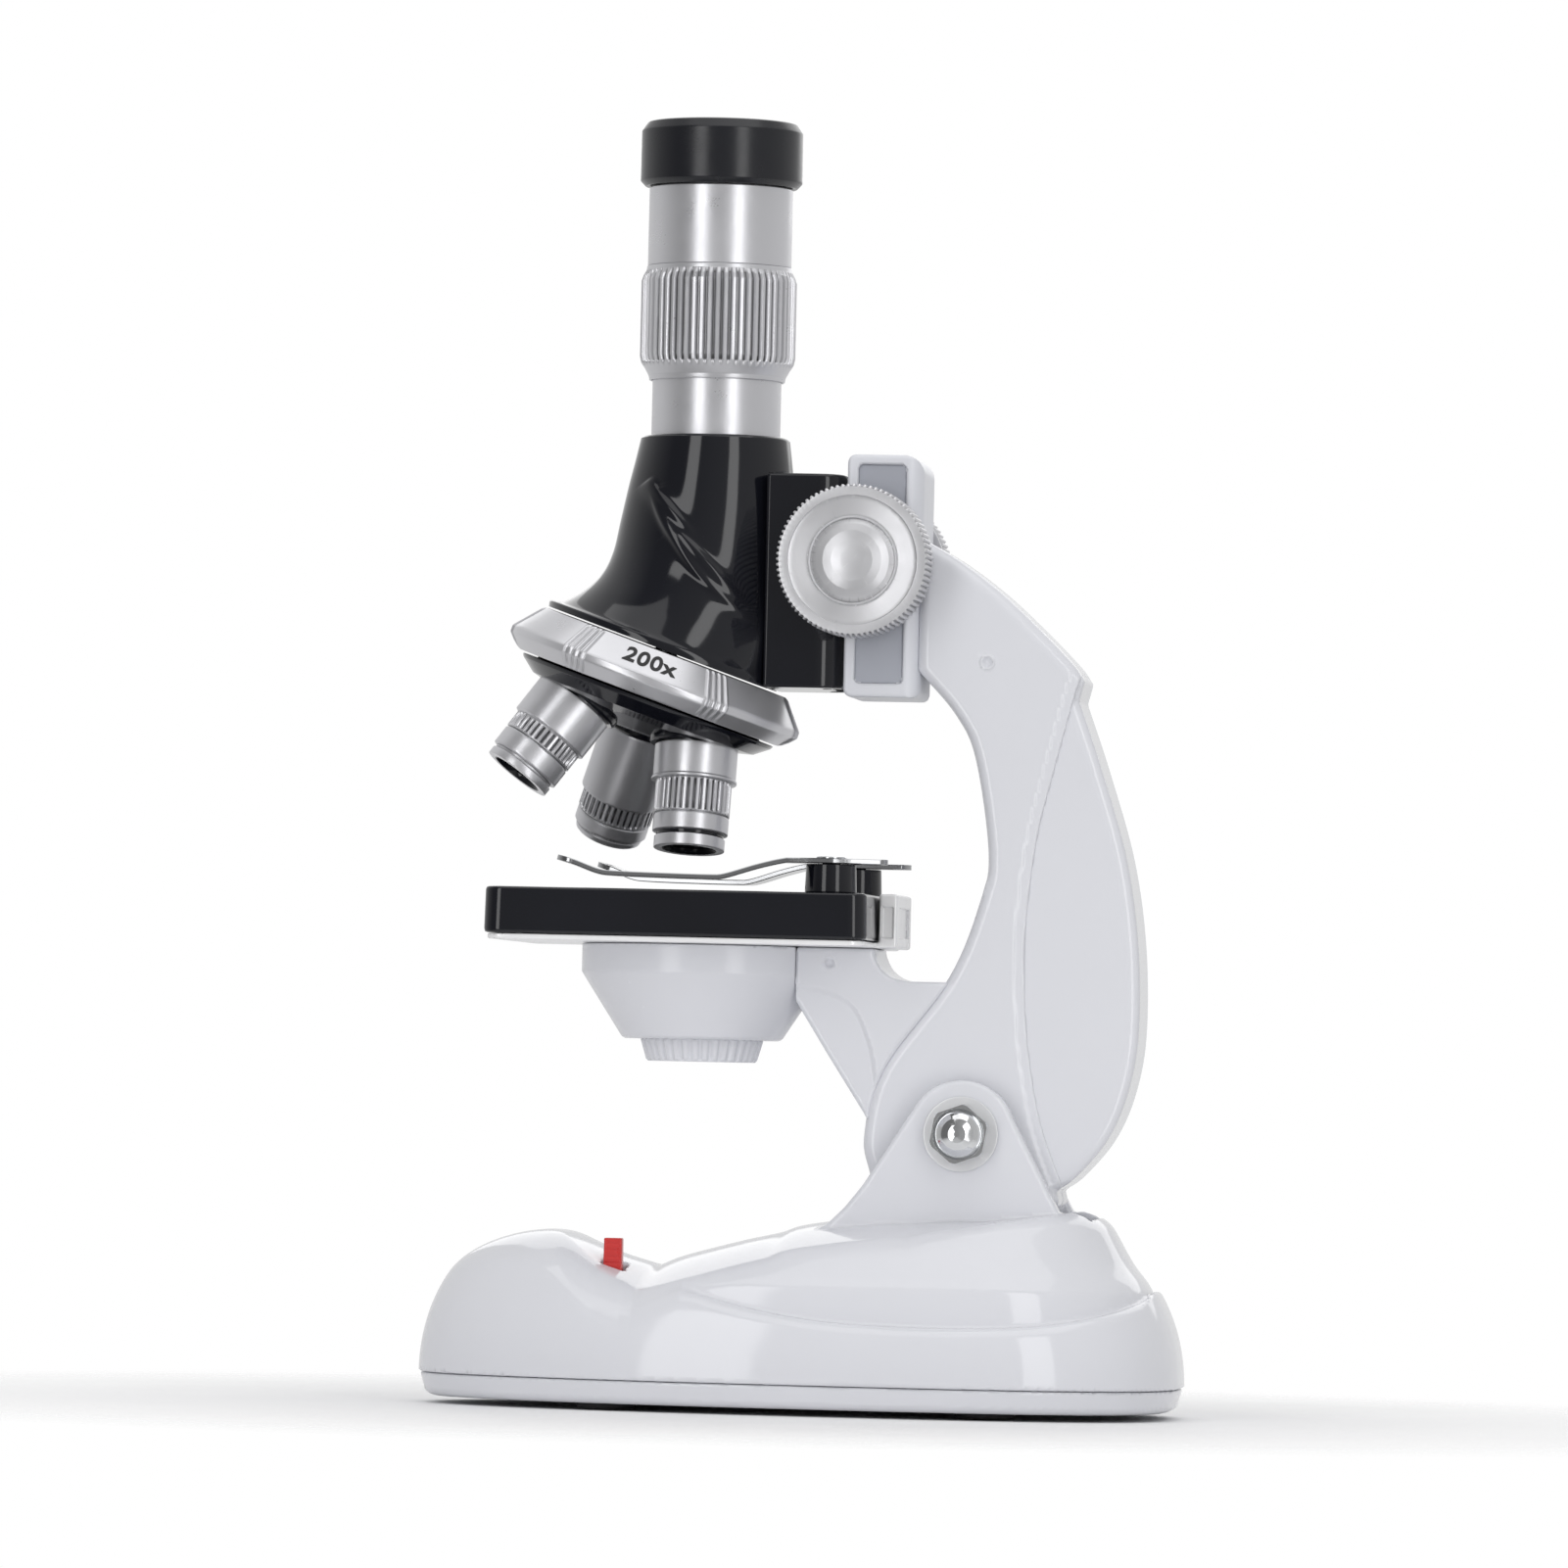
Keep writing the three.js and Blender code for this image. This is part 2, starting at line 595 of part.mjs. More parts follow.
function addArm(parent) {
  const casing = armCasing();
  const big = 100;
  const left = common(casing, box(-big, big, -big, -0.05, -big, 2 * big));
  const right = common(casing, box(-big, big, 0.05, big, -big, 2 * big));
  add('arm_shell_left', left, WHITE, parent);
  add('arm_shell_right', right, WHITE, parent);
  const rear = cut(common(armSolid(), armRearSide(0.3)), armSpace());
  add('arm_rear_cover', rear, WHITE, parent);
  ARM_SCREW_PLACES.forEach(([x, z], i) => {
    const piece = add(`arm_screw_${i + 1}`, screw(2.4, 1.2, 1.05, 13), STEEL, parent);
    piece.rotation.x = Math.PI / 2;
    piece.position.set(x, ARM_HALF - 1, z);
  });
}

// The block that carries the head: two dovetail rails in front, a groove between
// them for the rack, and a pocket for the pinion.
function railGuide() {
  const body = slabZ(roundedBox(5.8, 18, -ARM_HALF, ARM_HALF, 1.5), GUIDE_LOW_Z, GUIDE_TOP_Z);
  const rails = [-1, 1].map((side) => slabZ(
    [[2.2, 4.7], [2.2, 8], [6.3, 6.6], [6.3, 4.7]].map(([x, y]) => [x, side * y]),
    GUIDE_LOW_Z, GUIDE_TOP_Z,
  ));
  const groove = box(0, 6.4, -4.5, 4.5, 100, 180);
  const pocket = box(0, 13.2, -4.3, 4.3, KNOB_Z - 5.4, KNOB_Z + 5.4);
  const bore = rodY(SHAFT_R + RUN, KNOB_X, KNOB_Z, -30, 30);
  const panels = [-1, 1].map((side) => box(
    7.7, 15.8,
    Math.min(side * (ARM_HALF - 0.6), side * 20), Math.max(side * (ARM_HALF - 0.6), side * 20),
    122.8, 159.7,
  ));
  return join(cut(join(body, ...rails), groove, pocket, bore, ...panels), guideLug(0));
}

function stageBracket() {
  const underArm = armInnerLine.filter(([, z]) => z > 53 && z < 73).map(([x, z]) => [x - 0.3, z]);
  const outline = [
    [SEAM_X, LAMP_TOP_Z], [12.05, LAMP_TOP_Z], [12.4, 77], [13.8, 74.9], [16.4, 73.7], [23.6, 73.6],
    ...underArm.toReversed(), [10.7, 51.6], [9.6, 51.6], [4.3, 60.4], [SEAM_X, 69],
  ];
  const space = [[SEAM_X - 5, LAMP_TOP_Z - 2], [10.4, LAMP_TOP_Z - 2], [12.6, 72.6], [22, 71.6],
    [30, 71.6], [15, 54], [11.3, 55], [6.2, 61.6], [1, 69.4], [SEAM_X - 5, 70.8]];
  const half = ARM_HALF - ARM_WALL;
  const shell = cut(slabY(outline, -ARM_HALF, ARM_HALF, 0.4), slabY(space, -half, half));
  const lugRoot = box(14.5, 20.5, -5, 5, 71, 73);
  return join(shell, lugRoot, bracketLug(0));
}

// ---- Stage and lamp -----------------------------------------------------------

function stagePlate() {
  const outer = slabZ(
    roundedBox(STAGE_FRONT_X, STAGE_REAR_X, -STAGE_HALF, STAGE_HALF, 3),
    STAGE_LOW_Z, STAGE_TOP_Z, 0.7,
  );
  const pocket = cut(
    box(STAGE_FRONT_X + 2.4, STAGE_REAR_X - 2.4, -STAGE_HALF + 2.4, STAGE_HALF - 2.4, 70, 84.6),
    rod(LIGHT_HOLE_R + 2.4, 60, 90).translate(OPTICAL_X, 0, 0),
    rod(4, 60, 90, SMALL).translate(POST_X, -POST_Y, 0),
    rod(4, 60, 90, SMALL).translate(POST_X, POST_Y, 0),
  );
  const lightHole = turned([[0, 60], [LIGHT_HOLE_R - 1, 60], [LIGHT_HOLE_R - 1, 85.2],
    [LIGHT_HOLE_R, 85.2], [LIGHT_HOLE_R, 90], [0, 90]]).translate(OPTICAL_X, 0, 0);
  const sockets = [-1, 1].map((side) => rod(2 + RUN, 82.8, 90).translate(POST_X, side * POST_Y, 0));
  return cut(outer, pocket, lightHole, ...sockets);
}

function stageTrim() {
  const sheet = slabZ(
    roundedBox(STAGE_FRONT_X + 0.5, STAGE_REAR_X - 0.3, -STAGE_HALF + 0.5, STAGE_HALF - 0.5, 2.6),
    LAMP_TOP_Z + 0.1, STAGE_LOW_Z - 0.1,
  );
  const upright = box(STAGE_REAR_X + 0.2, 16, -12, 12, LAMP_TOP_Z + 0.1, STAGE_TOP_Z + 0.3);
  const foot = box(10, STAGE_REAR_X + 1, -12, 12, LAMP_TOP_Z + 0.1, STAGE_LOW_Z - 0.1);
  const panel = box(15.6, 17, -8.5, 8.5, 80, 85);
  const opening = rod(LIGHT_HOLE_R - 1, 60, 90).translate(OPTICAL_X, 0, 0);
  return cut(join(sheet, foot, upright), panel, opening);
}

function lampHousing() {
  const bowl = turned([[20.4, LAMP_TOP_Z], [20.4, 73.6], [19, 71.5], [12.4, 62.4], [9.6, 62.4],
    [9.6, 64.2], [11.8, 65], [18.3, 74.4], [18.4, LAMP_TOP_Z]], FINE);
  return cut(bowl.translate(OPTICAL_X, 0, 0), box(SEAM_X - 0.2, 40, -40, 40, 50, 90));
}

function lampCap() {
  return turned([[0, 58.4], [8.6, 58.4], [8.9, 58.8], [9.9, 62.1], [9.4, 62.3], [9.4, 64.4], [8, 64.4],
    [8, 60.2], [0, 60.2]]);
}

const CLIP_THICK = 0.5;

// A strip of spring steel on its post: a cranked arm that points towards -X.
function clip() {
  const lift = POST_TOP_Z + 0.1;
  const under = [[-46, 91.7], [-39.1, 89.3], [-20.6, 88.9], [-17.8, 89.1], [-8.3, lift + 0.1],
    [-6, lift], [9.6, lift]];
  const over = under.map(([x, z]) => [x, z + CLIP_THICK]).toReversed();
  const side = slabY([...under, ...over], -5, 5);
  const plan = [...arc(0, 0, 4.6, 100, -60, 6), [-8, -3.3], [-42, -2.6], ...arc(-43.6, 0, 2.5, 260, 100, 5),
    [-42, 2.6], [-8, 3.3]];
  const tail = [[0, -3], [8.6, -2.4], [9.5, -1.2], [9.5, 1.2], [8.6, 2.4], [0, 3]];
  const footprint = join(slabZ(plan, 80, 100), slabZ(tail, 80, 100));
  return cut(common(side, footprint), rod(1.6, 80, 100, SMALL));
}

function clipPost() {
  return turned([[0, 83], [2, 83], [2, STAGE_TOP_Z + 0.1], [POST_R, STAGE_TOP_Z + 0.1],
    [POST_R, POST_TOP_Z], [1.45, POST_TOP_Z], [1.45, POST_TOP_Z + 0.75], [2.8, POST_TOP_Z + 0.75],
    [2.3, POST_TOP_Z + 1.4], [0, POST_TOP_Z + 1.6]]);
}

function addStage(parent) {
  add('stage_bracket', stageBracket(), WHITE, parent);
  add('lamp_housing', lampHousing(), WHITE, parent);
  const cap = add('lamp_cap', lampCap(), WHITE, parent);
  cap.position.x = OPTICAL_X;
  add('lamp_board', rod(7.6, 66.2, 67.4), GREEN, parent).position.x = OPTICAL_X;
  const led = turned([[0, 67.5], [2.9, 67.5], [2.9, 68.5], [2.5, 68.5], [2.5, 73], [1.8, 74.6],
    [0, 75.4]], SMALL);
  add('lamp_led', led, CLEAR, parent).position.x = OPTICAL_X;
  add('lamp_cable', wire(CABLE_PATH, 1, 16), BLACK, parent);
  add('stage_plate', stagePlate(), BLACK, parent);
  add('stage_trim', stageTrim(), SILVER, parent);
  const lens = rod(LIGHT_HOLE_R - GAP, 85.3, 86.7);
  add('stage_window', lens, CLEAR, parent).position.x = OPTICAL_X;
  for (const [name, side] of [['left', -1], ['right', 1]]) {
    const swing = new THREE.Group();
    swing.position.set(POST_X, side * POST_Y, 0);
    swing.rotation.z = -side * CLIP_SPLAY;
    parent.add(swing);
    add(`clip_post_${name}`, clipPost(), BLACK, swing);
    add(`clip_${name}`, clip(), STEEL, swing);
  }
}

// ---- Head ---------------------------------------------------------------------

// A ring of the head: a level or tilted ellipse between a front and a rear point.
function headRing(front, rear, halfWidth, count = 20) {
  return Array.from({ length: count }, (_, i) => {
    const angle = 2 * Math.PI * i / count;
    const across = (1 + Math.cos(angle)) / 2;
    return [
      front[0] + (rear[0] - front[0]) * across,
      halfWidth * Math.sin(angle),
      front[1] + (rear[1] - front[1]) * across,
    ];
  });
}

function headBottomPoint(radius, n) {
  const [c, s] = [Math.cos(TURRET_TILT), Math.sin(TURRET_TILT)];
  return [TURRET_CENTRE.x + n * s + radius * c, TURRET_CENTRE.z + n * c - radius * s];
}

const HEAD_RINGS = [
  [[-30.6, 164.4], [-5.4, 164.4], 12.6],
  [[-32.6, 155.8], [-4.2, 153.5], 14.1],
  [[-35, 144.5], [-4, 140], 16],
  [[-36.7, 140.9], [-4, 134.5], 17.3],
  [[-39.7, 138.3], [-4.2, 129], 19],
  [[-43.2, 136.2], [-5, 124], 20.8],
];

function headShell() {
  const lowest = [headBottomPoint(-21.4, TURRET_TOP_N + 0.2), headBottomPoint(21.4, TURRET_TOP_N + 0.2), 21.4];
  const flange = [headBottomPoint(-21.4, TURRET_TOP_N + 1.2), headBottomPoint(21.4, TURRET_TOP_N + 1.2), 21.4];
  const outer = lofted([lowest, flange, ...HEAD_RINGS.toReversed()].map((ring) => headRing(...ring)));
  const wall = 2.2;
  const floorRing = [headBottomPoint(-18, TURRET_TOP_N + 3.4), headBottomPoint(18, TURRET_TOP_N + 3.4), 18];
  const innerRings = HEAD_RINGS.slice(1, 5).map(([front, rear, half]) => [
    [front[0] + wall, front[1]], [rear[0] - wall, rear[1]], half - wall]);
  const inner = lofted([floorRing, ...innerRings.toReversed()].map((ring) => headRing(...ring)));
  const seamX = -9.4 - 0.2;
  const carriageSpace = box(seamX, 30, -40, 40, 100, CARRIAGE_TOP_Z + 0.2);
  const rearWall = common(outer, box(seamX - 2, seamX, -40, 40, 100, CARRIAGE_TOP_Z + 2.2));
  const roof = common(outer, box(seamX - 2, 30, -40, 40, CARRIAGE_TOP_Z + 0.2, CARRIAGE_TOP_Z + 2.2));
  const tubeHole = rod(TUBE_R + 0.15, 158.5, 170, FINE).translate(OPTICAL_X, 0, 0);
  const lightHole = rod(6.5, 110, 162).translate(OPTICAL_X, 0, 0);
  const pivot = rod(2.1, TURRET_TOP_N - 3, TURRET_TOP_N + 9)
    .rotateY(TURRET_TILT).translate(TURRET_CENTRE.x, 0, TURRET_CENTRE.z);
  const hollow = cut(cut(outer, inner), carriageSpace);
  return cut(join(hollow, rearWall, roof), tubeHole, lightHole, pivot);
}

// The sliding block behind the head, with female dovetails and the rack.
function rackCarriage() {
  const outline = [
    [-9.4, -12], [5.5, -12], [5.5, -6.9], [2.05, -8.3], [2.05, -4.6],
    [3.2, -4.4], [3.2, 4.4],
    [2.05, 4.6], [2.05, 8.3], [5.5, 6.9], [5.5, 12], [-9.4, 12],
  ];
  const block = slabZ(outline, CARRIAGE_LOW_Z, CARRIAGE_TOP_Z);
  const turretSpace = rod(27, -10, TURRET_TOP_N + 0.2, FINE)
    .rotateY(TURRET_TILT).translate(TURRET_CENTRE.x, 0, TURRET_CENTRE.z);
  return cut(join(block, rackTeeth()), turretSpace);
}

function rackTeeth() {
  const pitch = Math.PI * MODULE;
  const pitchX = KNOB_X - PITCH_R;
  const rootX = pitchX - MODULE;
  const tipX = pitchX + 0.8 * MODULE;
  const slope = Math.tan(THREE.MathUtils.degToRad(20));
  const halfAtPitch = pitch / 4 - BACKLASH / 2;
  const first = Math.ceil((CARRIAGE_LOW_Z + 1 - KNOB_Z) / pitch);
  const last = Math.floor((CARRIAGE_TOP_Z - 1 - KNOB_Z) / pitch);
  const outline = [[rootX - 0.5, KNOB_Z + last * pitch], [rootX - 0.5, KNOB_Z + first * pitch]];
  for (let k = first; k < last; k += 1) {
    const z = KNOB_Z + (k + 0.5) * pitch;
    const halfRoot = halfAtPitch + MODULE * slope;
    const halfTip = halfAtPitch - 0.8 * MODULE * slope;
    outline.push([rootX, z - halfRoot], [tipX, z - halfTip], [tipX, z + halfTip], [rootX, z + halfRoot]);
  }
  return slabY(outline, -3.8, 3.8);
}

function pinionShaft() {
  const tip = PITCH_R + 0.8 * MODULE;
  const root = PITCH_R - 1.05 * MODULE;
  const outline = [];
  for (let k = 0; k < PINION_TEETH; k += 1) {
    const middle = 360 * k / PINION_TEETH;
    const quarter = 90 / PINION_TEETH - THREE.MathUtils.radToDeg(BACKLASH / 2 / PITCH_R);
    const corners = [[root, -1.45], [tip, -0.42], [tip, 0.42], [root, 1.45]];
    for (const [radius, share] of corners) {
      outline.push(...arc(0, 0, radius, middle + share * quarter, middle + share * quarter, 1).slice(0, 1));
    }
  }
  const pinion = slabY(outline, -4, 4).translate(KNOB_X, 0, KNOB_Z);
  return join(pinion, rodY(SHAFT_R, KNOB_X, KNOB_Z, -19.6, 19.6));
}

function focusKnob() {
  const wide = KNOB_OUTER_Y - KNOB_INNER_Y;
  const boreR = SHAFT_R + 0.05;
  return turned([[0, 7.9], [boreR, 7.9], [boreR, 0], [KNOB_R, 0], [KNOB_R, wide - 0.5], [12.3, wide],
    [10.3, wide], [9.6, wide - 1.8], [7.2, wide - 1.8], [6.8, wide - 0.4], [0, wide + 0.7]], FINE);
}

function addHead(parent) {
  add('head_shell', headShell(), BLACK, parent);
  add('rack_carriage', rackCarriage(), BLACK, parent);
  const tube = turned([[SLEEVE_R + 0.15, 158.8], [TUBE_R, 158.8], [TUBE_R, 182], [11.6, 182],
    [11.6, 184], [TUBE_R, 184], [TUBE_R, 192], [SLEEVE_R + 0.15, 192]], FINE);
  add('lower_tube', tube, SILVER, parent).position.x = OPTICAL_X;
}

function addFocus(parent) {
  add('focus_shaft', pinionShaft(), STEEL, parent);
  for (const [name, side] of [['left', -1], ['right', 1]]) {
    const knob = add(`focus_knob_${name}`, focusKnob(), SILVER, parent);
    knob.rotation.x = side > 0 ? -Math.PI / 2 : Math.PI / 2;
    knob.position.set(KNOB_X, side * KNOB_INNER_Y, KNOB_Z);
  }
}

// ---- Turret -------------------------------------------------------------------

// Objectives in turret order. Each profile is [radius, distance down its own axis].
const OBJECTIVES = [
  { name: 'medium', angle: 0, tip: 25.8, profile: [[7.05, 8.2], [7.05, 14], [6.2, 14],
    [6.3, 23.2], [5.8, 23.6], [5.8, 25.8]] },
  { name: 'long', angle: 120, tip: 29.2, profile: [[7.05, 8.2], [7.05, 21.5], [6.2, 21.5],
    [6.3, 27.5], [5.7, 27.9], [5.5, 29.2]] },
  { name: 'short', angle: -120, tip: 24, profile: [[7.05, 8.2], [7.05, 15.4], [6.2, 15.4],
    [6.3, 22], [5.8, 22.4], [5.8, 24]] },
];
const OBJECTIVE_BORE = 4.5;

// A geometry drawn down an objective's axis, put in place on the turret.
function onObjective(geometry, angleDeg) {
  return geometry.rotateY(Math.PI - TURRET_TILT).translate(OBJECTIVE_RADIUS, 0, 0)
    .rotateZ(THREE.MathUtils.degToRad(angleDeg));
}

function turretRing() {
  return turned([[20.2, TURRET_TOP_N - 0.15], [21.6, TURRET_TOP_N - 0.15], [25.6, 0.7], [25.6, -0.5],
    [23.3, -2.7], [20.2, -2.7]], FINE);
}

function turretHub() {
  const dish = turned([[2.5, 5.2], [20, 5.2], [20, -3], [23, -3], [20, -5.6], [11, -7.8], [7.5, -8.6],
    [6.3, -11.8], [2.5, -12]], FINE);
  let hub = dish;
  for (const { angle } of OBJECTIVES) {
    hub = join(hub, onObjective(rod(8, 2, 7.9), angle));
  }
  for (const { angle } of OBJECTIVES) {
    const bore = turned([[0, -12], [OBJECTIVE_BORE, -12], [OBJECTIVE_BORE, 3.5], [5.8, 3.5],
      [5.8, 7.9], [7.5, 7.9], [7.5, 14], [0, 14]]);
    hub = cut(hub, onObjective(bore, angle));
  }
  return cut(hub, rod(2.5, -20, 10));
}

function objectiveBarrel({ profile, tip }) {
  return turned([[5.5, 4], [5.5, 8.2], ...profile, [3.6, tip], [3.6, tip - 1.2], [OBJECTIVE_BORE, tip - 1.2],
    [OBJECTIVE_BORE, 4]]);
}

function addTurret(parent) {
  const turret = new THREE.Group();
  turret.position.copy(TURRET_CENTRE);
  turret.rotation.set(0, TURRET_TILT, 0);
  parent.add(turret);
  const spindle = turned([[0, -14.4], [3.2, -14.2], [4, -13.4], [4, -12.3], [2.2, -12.3],
    [2.2, TURRET_TOP_N], [1.9, TURRET_TOP_N], [1.9, TURRET_TOP_N + 7], [0, TURRET_TOP_N + 7]]);
  add('turret_screw', spindle, STEEL, turret);
  const dial = new THREE.Group();
  dial.rotation.z = TURRET_REST;
  turret.add(dial);
  add('turret_ring', turretRing(), SILVER, dial);
  add('turret_hub', turretHub(), BLACK, dial);
  for (const objective of OBJECTIVES) {
    const { name, angle, tip } = objective;
    add(`objective_${name}`, onObjective(objectiveBarrel(objective), angle), SILVER, dial);
    const lens = turned([[0, tip - 3.6], [OBJECTIVE_BORE - 0.1, tip - 3], [OBJECTIVE_BORE - 0.1, tip - 1.4],
      [0, tip - 1.4]]);
    add(`objective_lens_${name}`, onObjective(lens, angle), CLEAR, dial);
  }
}

// ---- Zoom ring and eyepiece -----------------------------------------------------

function zoomRing() {
  const bore = TUBE_R + 0.2;
  return turned([[bore, 173.9], [11.5, 173.9], [13.2, 177.5], [13.2, 191], [EYEPIECE_R, 193.3],
    [bore, 193.3], [bore, 184.2], [11.85, 184.2], [11.85, 181.8], [bore, 181.8]], FINE);
}

function addEyepiece(parent) {
  add('zoom_ring', zoomRing(), SILVER, parent).position.x = OPTICAL_X;
  const tube = turned([[8.5, 172], [SLEEVE_R, 172], [SLEEVE_R, 193.6], [EYEPIECE_R, 193.6],
    [EYEPIECE_R, 206.7], [11, 206.7], [11, 212.2], [8.5, 212.2]], FINE);
  add('eyepiece_tube', tube, SILVER, parent).position.x = OPTICAL_X;
  const cap = turned([[12.6, 206.9], [13.8, 208.5], [13.8, 216.5], [12.3, 218.6], [9.6, 218.6],
    [8, 215.7], [9, 215.7], [9, 212.35], [11.15, 212.35], [11.15, 206.9]], FINE);
  add('eyepiece_cap', cap, BLACK, parent).position.x = OPTICAL_X;
  const eyeLens = turned([[0, 212.6], [5, 212.8], [8.8, 213.6], [8.8, 214.4], [5, 215.2], [0, 215.5]]);
  add('eye_lens', eyeLens, CLEAR, parent).position.x = OPTICAL_X;
}

addBase();
addArm(microscope);
add('rail_guide', railGuide(), PANEL);
addStage(microscope);
addHead(microscope);
addFocus(microscope);
addTurret(microscope);
addEyepiece(microscope);

export default microscope;
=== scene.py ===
# The looks of a toy microscope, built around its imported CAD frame.
#
# Shapes are worked out in millimetres, in the frame's axes: +Z up, -X the front
# where the stage is, +X the arm side, -Y the left side that faces the camera.
# They become metres when a mesh is made.

import json
import math

import bmesh
import bpy
import numpy as np
from mathutils import Matrix, Vector


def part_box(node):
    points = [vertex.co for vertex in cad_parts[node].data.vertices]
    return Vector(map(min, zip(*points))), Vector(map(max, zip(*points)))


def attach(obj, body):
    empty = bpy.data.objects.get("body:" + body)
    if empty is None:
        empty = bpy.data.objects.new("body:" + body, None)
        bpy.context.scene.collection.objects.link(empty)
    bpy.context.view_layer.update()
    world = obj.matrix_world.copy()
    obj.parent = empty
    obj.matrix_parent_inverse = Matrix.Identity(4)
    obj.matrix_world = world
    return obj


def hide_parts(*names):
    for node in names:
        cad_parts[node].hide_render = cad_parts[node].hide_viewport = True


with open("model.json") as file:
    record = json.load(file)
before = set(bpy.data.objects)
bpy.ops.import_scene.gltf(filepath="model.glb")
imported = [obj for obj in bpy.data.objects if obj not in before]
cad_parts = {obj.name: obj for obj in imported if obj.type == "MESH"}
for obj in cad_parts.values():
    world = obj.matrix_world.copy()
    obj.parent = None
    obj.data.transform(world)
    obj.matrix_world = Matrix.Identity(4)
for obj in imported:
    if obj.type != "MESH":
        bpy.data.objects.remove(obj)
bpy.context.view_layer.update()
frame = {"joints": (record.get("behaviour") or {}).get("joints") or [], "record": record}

MM = 0.001
BODY_OF = {node: body for body, nodes in frame["record"]["behaviour"]["bodies"].items() for node in nodes}
JOINTS = {joint["name"]: joint for joint in frame["joints"]}


def low(node):
    return np.array(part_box(node)[0]) / MM


def high(node):
    return np.array(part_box(node)[1]) / MM


def middle(node):
    return (low(node) + high(node)) / 2


def heights(node):
    return low(node)[2], high(node)[2]


# ---- Places read from the frame ----

OPTICAL_X = middle("lower_tube")[0]
HINGE_X, _, HINGE_Z = np.array(JOINTS["arm_tilt"]["pos_m"]) / MM
KNOB_X, _, KNOB_Z = np.array(JOINTS["focus_turn"]["pos_m"]) / MM
TURRET_CENTRE = np.array(JOINTS["turret_turn"]["pos_m"]) / MM
TURRET_TILT = math.atan2(JOINTS["turret_turn"]["axis"][0], JOINTS["turret_turn"]["axis"][2])
TURRET_REST = math.radians(-27.5)
OBJECTIVE_RADIUS = (OPTICAL_X - TURRET_CENTRE[0]) / math.cos(TURRET_TILT)

# ---- Driving dimensions ----

SEAM = 0.08  # gap between mouldings that meet
BASE_WIDEST_X = 15.15
BASE_FRONT_REACH = BASE_WIDEST_X - low("base_shell")[0]
BASE_REAR_REACH = high("base_shell")[0] - BASE_WIDEST_X
BASE_HALF_WIDTH = high("base_shell")[1]
BASE_SEAM_Z = low("base_shell")[2]
BASE_WALL = 2.2
BOLT_HOLE_R = 3.15
EAR_INNER_Y = 11.5
EAR_OUTER_Y = 16.0
ARM_HALF = high("arm_shell_right")[1]
ARM_WALL = 2.2

# Heights of the base's skirt and of the tier on it, along the middle line.
HUMP_LINE = [(-70, 28.6), (-52.4, 29.2), (-45, 29.5), (-40.3, 29.3), (-36.5, 28), (-33.9, 26.9),
             (-30, 25.5), (-25.8, 24.3), (-22.3, 23.2)]
CREASE_LINE = [(-15.3, 20.2), (-3.8, 17.3), (9.3, 15.5), (27.3, 15), (42, 15.6), (52.6, 17.4),
               (58.8, 19.8), (61, 22.5), (70, 23)]
TIER_LINE = [(-40, 14), (-27, 21.5), (-23.5, 24), (-20.1, 25.5), (-15, 27), (-9, 28.6), (-3.4, 29.9),
             (0, 31.1), (6.7, 32.2), (14.9, 33.1), (24.6, 33.4), (34.7, 33.2), (43.9, 34.3), (48, 34.6),
             (52, 34.1), (70, 33)]
TIER_INSETS = [(5, 3.5), (12, 3.9), (19.7, 5.2), (22.3, 6.2), (26, 9), (32.5, 12.8), (35.4, 15.5)]
CROWN = 1.3  # how far the tops fall away 16 mm off the middle line
NOSE_X = -28.5  # front end of the tier, rounded over

ARM_TOP = [(18.3, 147.6), (24.7, 144), (31.6, 139), (38.4, 132.9), (44.4, 126.9), (46.6, 123.9)]
ARM_REAR = [(45.7, 120.5), (49.8, 108.9), (54.3, 94), (56.6, 79), (56.9, 64.1), (55.2, 54.1),
            (52, 46.6), (47.1, 40.6), (43.7, 38)]
ARM_HEEL = [(44.1, 36.4), (43.1, 33.9)]
ARM_INNER = [(12.1, 39.9), (10.9, 46.5), (13.8, 58.1), (24.7, 73.5), (29.7, 86.5), (30.9, 94.7),
             (28.4, 110.3), (24.9, 117.7), (18.3, 125.2)]
ARM_BORDER = [(45.2, 122), (41.7, 108.1), (39.1, 96.5), (37.6, 81.7), (37.7, 71.8), (38.6, 61.1),
              (41, 48.8), (45.5, 36.9)]
ARM_FOOT_R = 18.6


# ---- Curves and outlines ----

def spline(points, steps=8):
    """A smooth line through the points, with that many steps between neighbours."""
    p = np.array(points, float)
    p = np.vstack([2 * p[0] - p[1], p, 2 * p[-1] - p[-2]])
    out = []
    for a, b, c, d in zip(p, p[1:], p[2:], p[3:]):
        for t in np.arange(steps) / steps:
            out.append(0.5 * (2 * b + (c - a) * t + (2 * a - 5 * b + 4 * c - d) * t**2
                              + (3 * b - a - 3 * c + d) * t**3))
    return np.vstack([out, p[-2]])


def arc(x, z, radius, start, end, steps=12):
    """Points on a circle, angles in degrees."""
    angle = np.radians(np.linspace(start, end, steps + 1))
    return np.stack([x + radius * np.cos(angle), z + radius * np.sin(angle)], 1)


def outline(*parts):
    return np.vstack([np.array(part, float).reshape(-1, 2) for part in parts])


def height_at(line, x):
    points = spline(line)
    return np.interp(x, points[:, 0], points[:, 1])


# ---- Distance fields ----
# A field takes x, y and z and gives a distance to a surface, negative inside.

def meet(a, b, radius=0.0):
    """What is inside both, with the edge between them rounded."""
    if np.all(np.equal(radius, 0)):
        return np.maximum(a, b)
    rest = np.minimum(-radius, np.maximum(a, b))
    return rest + np.hypot(np.maximum(radius + a, 0), np.maximum(radius + b, 0))


def merge(a, b, radius=0.0):
    """What is inside either, with a fillet between them."""
    return -meet(-a, -b, radius)


